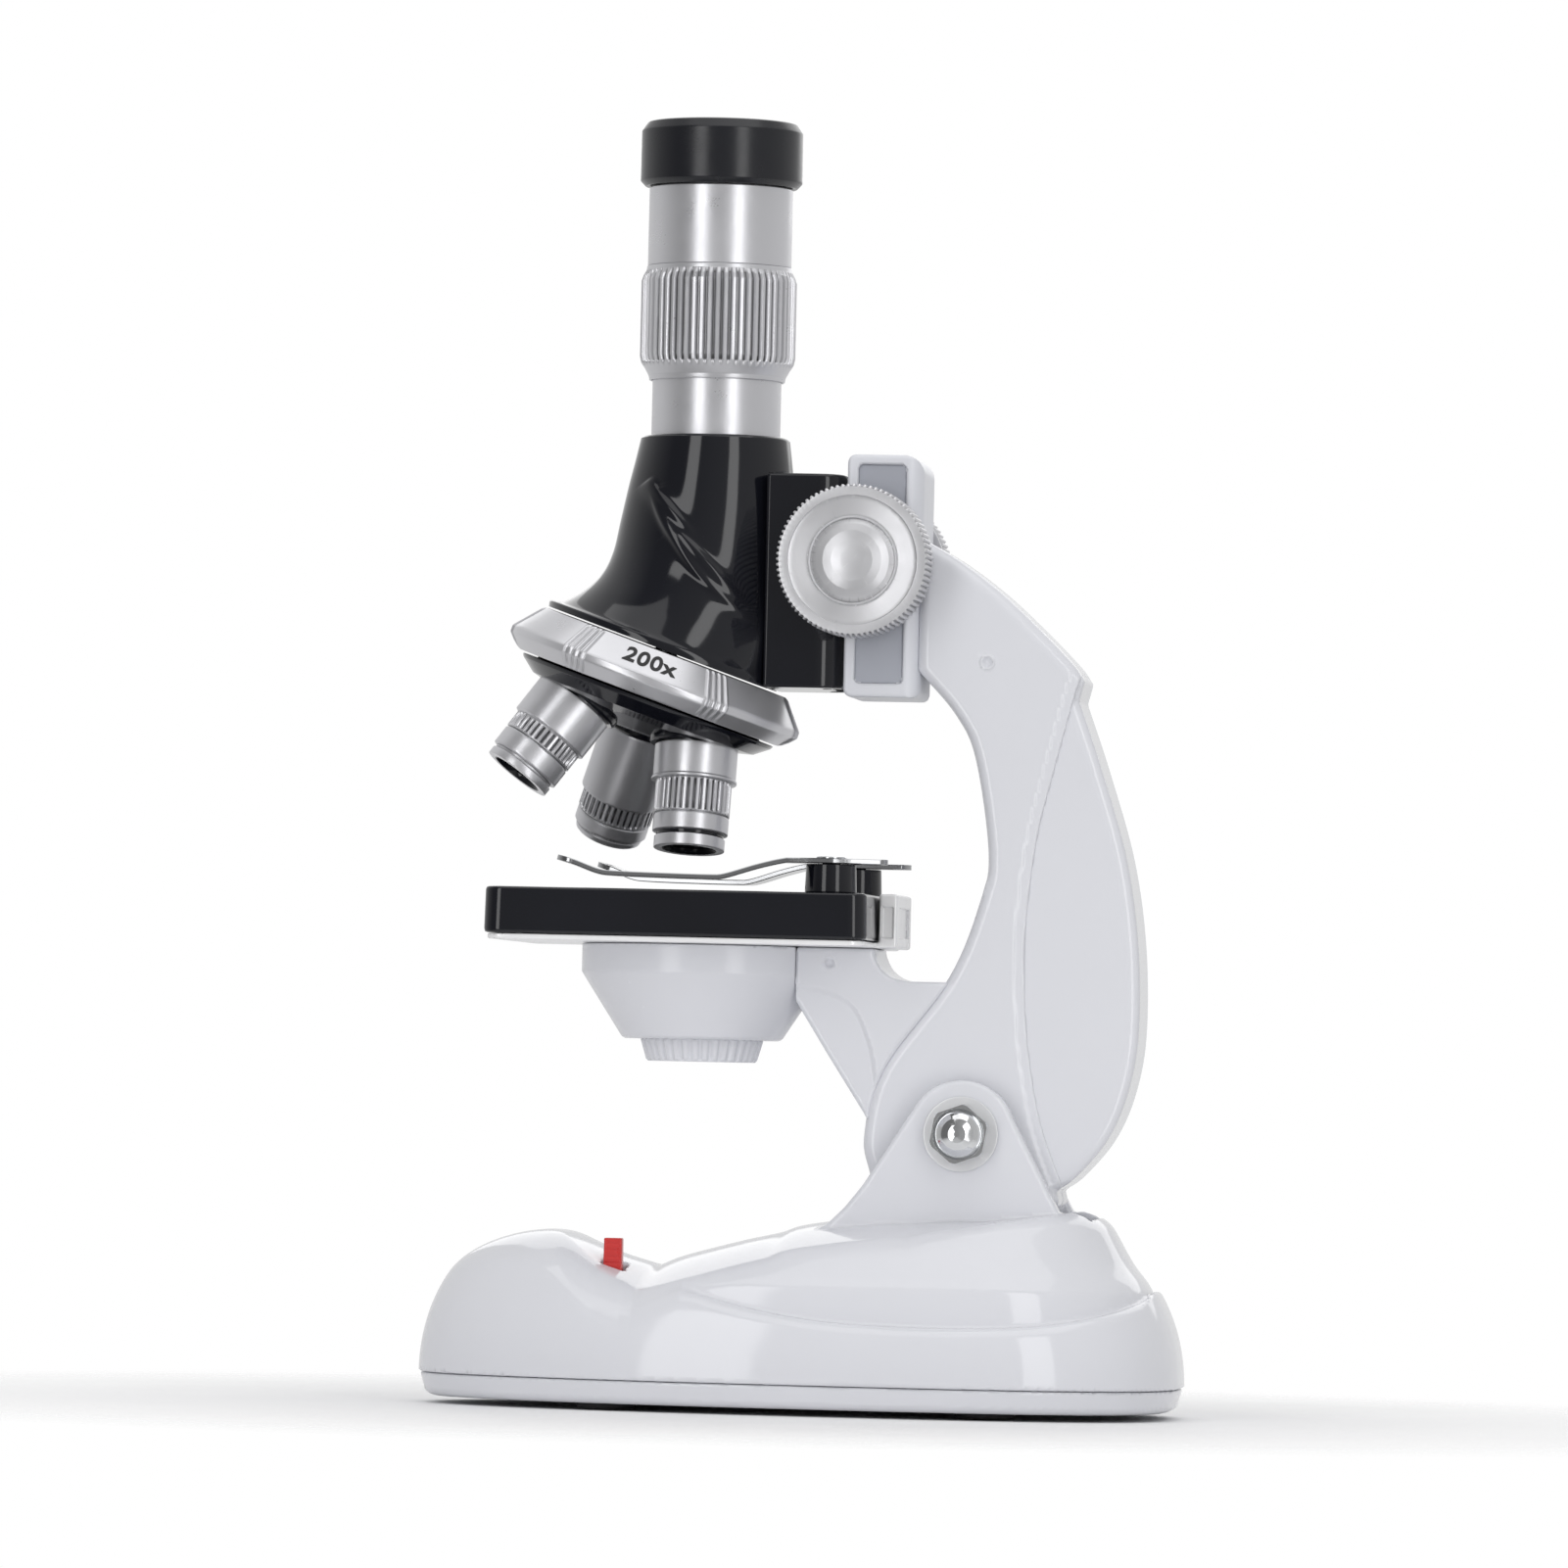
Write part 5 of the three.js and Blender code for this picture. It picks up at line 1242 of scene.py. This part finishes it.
def carriage_field(x, y, z):
    body = meet(meet(HEAD_SEAM_X + SEAM - x, np.abs(y) - 12, 0.5), meet(x - 5.5, np.abs(y) - 12, 4.6))
    body = meet(body, z - CARRIAGE_TOP_Z, 0.7)
    body = meet(body, CARRIAGE_LOW_Z - z, 0.4)
    c, s = math.cos(TURRET_TILT), math.sin(TURRET_TILT)
    dx, dz = x - TURRET_CENTRE[0], z - TURRET_CENTRE[2]
    above_turret = dx * s + dz * c
    off_axis = np.hypot(dx * c - dz * s, y)
    body = carve(body, meet(off_axis - 27, above_turret - 5.8), 0.2)
    rail_groove = meet(np.abs(np.abs(y) - 6.4) - (2.05 - 0.4 * (x - 2.05)), 2.05 - x)
    body = carve(body, meet(rail_groove, 4.6 - np.abs(y)), 0.1)
    rack_seat = meet(np.abs(y) - 4.4, 3.2 - x)
    return carve(body, rack_seat, 0.1)


def rack_mesh():
    """The rack's teeth as a strip down the middle of the carriage."""
    module, pitch = MODULE, math.pi * MODULE
    pitch_x = KNOB_X - PITCH_R
    lowest, highest = heights("rack_carriage")
    first, last = math.ceil((lowest + 1 - KNOB_Z) / pitch), math.floor((highest - 1 - KNOB_Z) / pitch)
    half = pitch / 4 - 0.1
    slope = math.tan(math.radians(20))
    back = pitch_x - module - 0.5
    profile = [(back, KNOB_Z + last * pitch), (back, KNOB_Z + first * pitch)]
    for k in range(first, last):
        z = KNOB_Z + (k + 0.5) * pitch
        root, tip = half + module * slope, half - 0.8 * module * slope
        profile += [(pitch_x - module, z - root), (pitch_x + 0.8 * module, z - tip),
                    (pitch_x + 0.8 * module, z + tip), (pitch_x - module, z + root)]
    return extruded(softened(profile, 0.08, 2), 3.8)


def add_head():
    top = CARRIAGE_TOP_Z + 0.2
    cutter = extruded([(HEAD_SEAM_X, top), (HEAD_SEAM_X, 100), (30, 100), (30, top)], 30)
    bore = stood(turned(stepped(0, 120, (11.1, 170)), 144, 0.1), TUBE_AXIS)
    shell = cut_mesh(cut_mesh(head_mesh(), cutter), bore)
    piece("head_shell_fine", shell, "black_plastic", "head_shell")
    add_sculpted("rack_carriage", "black_plastic", carriage_field, 0.35)
    piece("rack_teeth", rack_mesh(), "black_plastic", "rack_carriage")
    tube_low, tube_high = heights("lower_tube")
    tube = stepped(9.9, tube_low, (10.95, 182), (11.6, 184), (10.95, tube_high))
    add_turned("lower_tube", "silver_plastic", TUBE_AXIS, tube, 144, 0.15)


def pinion_mesh():
    tip, root = PITCH_R + 0.8 * MODULE, PITCH_R - 1.05 * MODULE
    quarter = 90 / PINION_TEETH - math.degrees(0.1 / PITCH_R)
    profile = []
    for k in range(PINION_TEETH):
        for radius, share in ((root, -1.45), (tip, -0.42), (tip, 0.42), (root, 1.45)):
            angle = math.radians(360 * k / PINION_TEETH + share * quarter)
            profile.append((KNOB_X + radius * math.cos(angle), KNOB_Z + radius * math.sin(angle)))
    return extruded(softened(profile, 0.1, 2), 4)


def add_focus():
    piece("focus_pinion", pinion_mesh(), "steel", "focus_shaft")
    rod = stepped(0, -19.6, (2, 19.6))
    add_turned("focus_shaft", "steel", sideways(KNOB_X, 0, KNOB_Z, -1), rod, 48, 0.25)
    wide = 10.0
    profile = [(0, 7.9), (2.05, 7.9), (2.05, 0), (12.5, 0, 0.3), (12.85, 0.5, 0.2),
               (12.85, wide - 0.45, 0.2), (12.45, wide - 0.05, 0.2), (10.95, wide, 0.08),
               (10.85, wide - 0.3, 0.08), (10.4, wide - 0.45, 0.3), (7.6, wide - 1.1, 0.2),
               (7.4, wide - 0.85, 0.1), (7.2, wide - 0.85, 0.1), (7.05, wide - 1.15, 0.1),
               (6.2, wide - 0.62, 0.8), (5.0, wide - 0.08, 1), (3.5, wide + 0.32, 1), (1.9, wide + 0.54, 1),
               (0.7, wide + 0.6), (0, wide + 0.6)]
    ribs = ribbed(84, 0.45, 0.2, wide + 0.1, 0.35, 12.4)
    for side, sign in SIDES:
        node = f"focus_knob_{side}"
        place = sideways(KNOB_X, inner_y(node, sign), KNOB_Z, sign)
        add_turned(node, "satin_silver", place, profile, 672, 0.2, ribs, 1.5)


# ---- Turret ----

TURRET = at(*TURRET_CENTRE) @ turn(TURRET_TILT, "Y") @ turn(TURRET_REST, "Z")
RING_TOP = (21.6, 5.45)
RING_RIM = (25.6, 0.7)
LABELS = {60: "100x", 180: "400x", 300: "200x"}


def on_objective(angle):
    """Where a piece drawn down an objective's axis goes."""
    foot = TURRET @ turn(math.radians(angle), "Z") @ at(OBJECTIVE_RADIUS, 0, 0)
    return foot @ turn(math.pi - TURRET_TILT, "Y")


def ring_relief(angle, radius, height):
    """Six groups of four fine ribs across the ring's face."""
    degrees = np.degrees(angle)
    relief = np.zeros_like(angle)
    for group in range(30, 360, 60):
        for k in range(4):
            middle_angle = group + (k - 1.5) * 2.9
            away = np.abs(np.mod(degrees - middle_angle + 180, 360) - 180)
            relief += 0.42 * np.clip(1.35 - away / 0.75, 0, 1)
    ends = np.clip((5.6 - height) / 0.5, 0, 1) * np.clip((height + 2.6) / 0.5, 0, 1)
    return relief * (radius > 21.4) * ends


def label_mesh(text):
    """Numbers bent round the ring's sloping face, standing a little proud of it."""
    curve = bpy.data.curves.new("label", "FONT")
    curve.body = text
    curve.size = 4.3
    curve.offset = 0.1
    curve.extrude = 0.12
    curve.align_x = curve.align_y = "CENTER"
    curve.space_character = 1.08
    obj = bpy.data.objects.new("label", curve)
    bpy.context.scene.collection.objects.link(obj)
    bpy.context.view_layer.update()
    mesh = bpy.data.meshes.new_from_object(obj.evaluated_get(bpy.context.evaluated_depsgraph_get()))
    bpy.data.objects.remove(obj)
    mesh.materials.clear()
    welded = bmesh.new()
    welded.from_mesh(mesh)
    bmesh.ops.remove_doubles(welded, verts=welded.verts, dist=0.0005)
    bmesh.ops.recalc_face_normals(welded, faces=welded.faces)
    welded.to_mesh(mesh)
    welded.free()
    co = np.zeros(len(mesh.vertices) * 3)
    mesh.vertices.foreach_get("co", co)
    u, v, out = co.reshape(-1, 3).T
    top, rim = np.array(RING_TOP), np.array(RING_RIM)
    slope = (rim - top) / np.linalg.norm(rim - top)
    centre = (top + rim) / 2
    radius = centre[0] - v * slope[0] - out * slope[1]
    height = centre[1] - v * slope[1] + out * slope[0]
    bend = u / centre[0]
    points = np.stack([radius * np.cos(bend), radius * np.sin(bend), height], 1) * MM
    mesh.vertices.foreach_set("co", points.ravel())
    mesh.update()
    return mesh


# Each objective: its angle round the turret, its outside as (radius, distance down its axis), and the
# start and end of its knurl
OBJECTIVES = {
    "medium": (0, [
        (7.05, 8.2), (7.05, 13.6), (7.25, 13.8), (7.25, 14.2), (6.45, 14.3), (6.45, 19.9), (6.15, 20.1),
        (6.4, 20.4), (6.4, 23.0), (5.7, 23.2), (5.7, 23.7), (6.0, 23.9), (6.0, 25.8),
    ], (14.4, 19.8)),
    "long": (120, [
        (7.05, 8.2), (7.05, 21.2), (6.45, 21.5), (6.45, 24.9), (6.1, 25.1), (6.35, 25.4), (6.35, 27.4),
        (5.75, 27.6), (5.75, 28.0), (5.9, 28.1), (5.7, 28.8), (5.2, 29.2),
    ], (21.6, 24.8)),
    "short": (-120, [
        (7.05, 8.2), (7.05, 15.1), (6.45, 15.4), (6.45, 18.3), (6.1, 18.5), (6.4, 18.8), (6.4, 21.9),
        (5.7, 22.1), (5.7, 22.5), (6.0, 22.7), (6.0, 24),
    ], (15.5, 18.2)),
}


def add_objective(name, angle, outside, knurl):
    place = on_objective(angle)
    boss = turned([(5.8, 2), (8, 2), (8, 7.55), (7.75, 7.9), (5.8, 7.9)], 96, 0.15)
    piece(f"turret_boss_{name}", stood(boss, place), "black_plastic", "turret_hub")
    tip = outside[-1][1]
    bore = [(4.6, tip), (4.1, tip - 0.9), (4.5, tip - 1.2), (4.5, 4), (5.6, 4), (5.6, 8.2)]

    def dark_parts(centres, normals):
        """1 inside the barrel and in the groove round its tip."""
        local = (np.array(place.inverted()) @ np.c_[centres, np.ones(len(centres))].T).T[:, :3]
        away = np.hypot(local[:, 0], local[:, 1])
        groove = (local[:, 2] > tip - 2.7) & (local[:, 2] < tip - 1.9) & (away < 5.85) & (name != "long")
        return (away < 4.65) | groove

    add_turned(f"objective_{name}", "silver_plastic", place, outside + bore, 432, 0.12,
               ribbed(36, 0.55, *knurl, 0.2, 5.9), 1.2, extra=("black_plastic",), choose=dark_parts)
    lens = [(0, tip - 3.6), (2.2, tip - 3.4), (4.4, tip - 2.9), (4.4, tip - 1.5), (0, tip - 1.4)]
    add_turned(f"objective_lens_{name}", "clear_lens", place, lens, 64, 0.1)


def add_turret():
    screw = [(0, -8.75), (3.0, -8.75), (3.2, -8.5), (3.2, -7.5), (2.2, -7.5), (2.2, 5.6), (1.9, 5.6),
             (1.9, 12.6), (0, 12.6)]
    add_turned("turret_screw", "steel", at(*TURRET_CENTRE) @ turn(TURRET_TILT, "Y"), screw, 64, 0.2)
    ring = [(20.2, 5.45), RING_TOP, (25.35, 1.0, 0.5), (25.6, 0.6, 0.5), (25.6, -0.45, 0.6),
            (23.5, -2.7, 0.5), (20.2, -2.7)]
    add_turned("turret_ring", "silver_plastic", TURRET, ring, 1440, 0.25, ring_relief, 1.0)
    for angle, text in LABELS.items():
        label = stood(label_mesh(text), TURRET @ turn(math.radians(angle), "Z"))
        piece(f"turret_mark_{text}", label, "print_black", "turret_ring")
    dish = [(2.5, 5.2), (20, 5.2), (20, -3), (22.8, -3.05), (22.4, -3.7), (20, -5.6), (16, -6.7),
            (11, -7.8), (7.5, -8.6), (4.2, -8.9), (3.4, -8.8), (3.4, -7.35), (2.5, -7.35)]
    add_turned("turret_hub", "black_plastic", TURRET, dish, 144, 0.3)
    for name, sizes in OBJECTIVES.items():
        add_objective(name, *sizes)


# ---- Zoom ring and eyepiece ----

def add_eyepiece():
    ring_low, ring_high = heights("zoom_ring")
    bore = 11.15
    ring = [(bore, ring_low), (11.5, ring_low, 0.15), (11.65, 174.7, 1.0), (12.3, 175.9, 1.2),
            (12.95, 176.9, 1.0), (13.2, 178.0, 0.5), (13.2, 190.8, 0.5), (12.9, 191.7, 0.5),
            (12.4, 192.6, 0.5), (12.3, ring_high, 0.1), (bore, ring_high), (bore, 184.2),
            (11.85, 184.2), (11.85, 181.8), (bore, 181.8)]
    ribs = ribbed(60, 0.62, 176.5, 192.4, 0.6, 12.0)
    add_turned("zoom_ring", "silver_plastic", TUBE_AXIS, ring, 720, 0.2, ribs, 0.8)
    tube_low, tube_high = heights("eyepiece_tube")
    seat = ring_high + SEAM / 2
    tube = stepped(8.5, tube_low, (9.75, seat), (12.2, 206.7), (11, tube_high))
    add_turned("eyepiece_tube", "silver_plastic", TUBE_AXIS, tube, 144, 0.15)
    cap_low, cap_high = heights("eyepiece_cap")
    cap = [(12.35, cap_low, 0.15), (12.9, cap_low, 0.2), (13.75, cap_low + 0.9, 0.3),
           (13.7, cap_high - 2.3, 0.4), (12.7, cap_high - 0.85, 0.3), (12.2, cap_high - 0.7, 0.2),
           (9.8, cap_high - 0.7, 0.4), (8, 215.7), (9, 215.7), (9, 212.35), (11.15, 212.35),
           (11.15, cap_low)]
    add_turned("eyepiece_cap", "satin_black", TUBE_AXIS, cap, 192, 0.15)
    lens = [(0, 212.6), (3, 212.65), (6, 212.95), (8.7, 213.6), (8.7, 214.4), (6, 215.05), (3, 215.4),
            (0, 215.5)]
    add_turned("eye_lens", "clear_lens", TUBE_AXIS, lens, 96, 0.1)


# ---- Studio ----

CAMERA_AZIMUTH = math.radians(6.3)
CAMERA_DISTANCE = 1910.3
CAMERA_HEIGHT = 54.8
CAMERA_ROLL = math.radians(1.3)
CAMERA_LENS = 258.6
LOOK_AT = Vector((-5, 0, 105.8))


def camera_axes():
    """Right, up and back of the camera, before its roll."""
    rise = -math.asin((LOOK_AT.z - CAMERA_HEIGHT) / CAMERA_DISTANCE)
    back = Vector((math.sin(CAMERA_AZIMUTH) * math.cos(rise), -math.cos(CAMERA_AZIMUTH) * math.cos(rise),
                   math.sin(rise)))
    right = Vector((0, 0, 1)).cross(back).normalized()
    return right, back.cross(right), back


def add_camera():
    right, up, back = camera_axes()
    c, s = math.cos(CAMERA_ROLL), math.sin(CAMERA_ROLL)
    rolled_right, rolled_up = right * c + up * s, up * c - right * s
    data = bpy.data.cameras.new("camera")
    data.lens = CAMERA_LENS
    data.sensor_width = 36
    data.clip_start, data.clip_end = 0.05, 50
    camera = bpy.data.objects.new("camera", data)
    rotation = Matrix((rolled_right, rolled_up, back)).transposed().to_4x4()
    camera.matrix_world = Matrix.Translation((LOOK_AT + back * CAMERA_DISTANCE) * MM) @ rotation
    bpy.context.scene.collection.objects.link(camera)
    bpy.context.scene.camera = camera


def add_light(name, place, target, size, power):
    data = bpy.data.lights.new(name, "AREA")
    data.shape = "RECTANGLE"
    data.size, data.size_y = size
    data.energy = power
    light = bpy.data.objects.new(name, data)
    light.location = place
    light.rotation_euler = (Vector(target) - Vector(place)).to_track_quat("-Z", "Y").to_euler()
    bpy.context.scene.collection.objects.link(light)


def add_world():
    """White to the camera, softer as a light, and graded for reflections: dim near the camera."""
    world = bpy.data.worlds.new("studio")
    bpy.context.scene.world = world
    world.use_nodes = True
    n = Nodes(world.node_tree)
    ray = n.add("ShaderNodeLightPath").outputs
    seen = n.add("ShaderNodeBackground", {"Color": (1, 1, 1, 1), "Strength": 1.0}).outputs[0]
    fill = n.add("ShaderNodeBackground", {"Color": (1, 1, 1, 1), "Strength": 0.5}).outputs[0]
    direction = n.add("ShaderNodeTexCoord").outputs["Generated"]
    place = n.add("ShaderNodeSeparateXYZ", {0: direction}).outputs
    around = n.math("ARCTAN2", place[0], n.math("MULTIPLY", place[1], -1.0))
    around = n.spread(around, -math.pi, math.pi, 0.0, 1.0)
    level = ramp_level(n, around, [
        (0, 0.8), (0.2, 0.62), (0.28, 0.34), (0.33, 0.16), (0.4, 0.16), (0.5, 0.3), (0.63, 0.45),
        (0.75, 0.55), (0.85, 0.68), (1, 0.8),
    ])
    mirrored = n.add("ShaderNodeBackground", {"Color": level, "Strength": 1.0}).outputs[0]
    soft = n.add("ShaderNodeMixShader", {0: ray["Is Glossy Ray"], 1: fill, 2: mirrored}).outputs[0]
    shown = n.add("ShaderNodeMixShader", {0: ray["Is Camera Ray"], 1: soft, 2: seen}).outputs[0]
    n.add("ShaderNodeOutputWorld", {"Surface": shown})


def add_floor():
    """A round pale floor that fades into the white background."""
    radius, rings, sides = 0.9, 24, 96
    angle = 2 * math.pi * np.arange(sides) / sides
    vertices, faces = [(0, 0, 0)], [[0, 1 + i, 1 + (i + 1) % sides] for i in range(sides)]
    for k in range(rings):
        r = radius * (k + 1) / rings
        vertices.extend(zip(r * np.cos(angle), r * np.sin(angle), 0 * angle))
        a, b = 1 + k * sides, 1 + (k + 1) * sides
        if k < rings - 1:
            faces += [[a + i, b + i, b + (i + 1) % sides, a + (i + 1) % sides] for i in range(sides)]
    mesh = bpy.data.meshes.new("floor")
    mesh.from_pydata(vertices, [], faces)
    material = bpy.data.materials.new("floor")
    material.use_nodes = True
    n = Nodes(material.node_tree)
    place = n.add("ShaderNodeTexCoord").outputs["Object"]
    away = n.add("ShaderNodeVectorMath", {0: place}, operation="LENGTH").outputs["Value"]
    fade = n.spread(away, 0.085, 0.2, 0.0, 1.0)
    cloud = n.spread(n.noise(place, 12, 3), 0.3, 0.7, 0, 1)
    paper = n.mix(cloud, (0.86, 0.86, 0.87, 1), (0.9, 0.9, 0.905, 1))
    inputs = {"Base Color": paper, "Roughness": 0.6, "Specular IOR Level": 0.2}
    surface = n.add("ShaderNodeBsdfPrincipled", inputs)
    through = n.add("ShaderNodeBsdfTransparent")
    shown = n.add("ShaderNodeMixShader", {0: fade, 1: surface.outputs[0], 2: through.outputs[0]})
    n.add("ShaderNodeOutputMaterial", {"Surface": shown.outputs[0]})
    mesh.materials.append(material)
    floor = bpy.data.objects.new("floor", mesh)
    floor.location.z = -0.0002
    bpy.context.scene.collection.objects.link(floor)


def add_studio():
    add_camera()
    add_world()
    add_floor()
    _, _, back = camera_axes()
    centre = Vector((-0.005, 0, 0.11))
    level = Vector((back.x, back.y, 0)).normalized()
    distance, raised, tall = 1.1, 0.1, 1.3
    for name, angle, width, power in (("strip_left", -31, 0.32, 3.4), ("strip_right", 29, 0.28, 3.0)):
        direction = Matrix.Rotation(math.radians(angle), 3, "Z") @ level
        place = centre + direction * distance + Vector((0, 0, raised))
        add_light(name, place, centre, (width, tall), power)
    add_light("top", (0.05, -0.15, 1.2), (0, 0, 0.1), (1.2, 1.2), 4.5)
    add_light("rear", (0.1, 1.1, 0.7), (0, 0, 0.1), (1.2, 0.9), 2.5)
    bpy.context.scene.view_settings.view_transform = "Standard"


add_base()
add_arm()
add_stage()
add_head()
add_focus()
add_turret()
add_eyepiece()
add_studio()
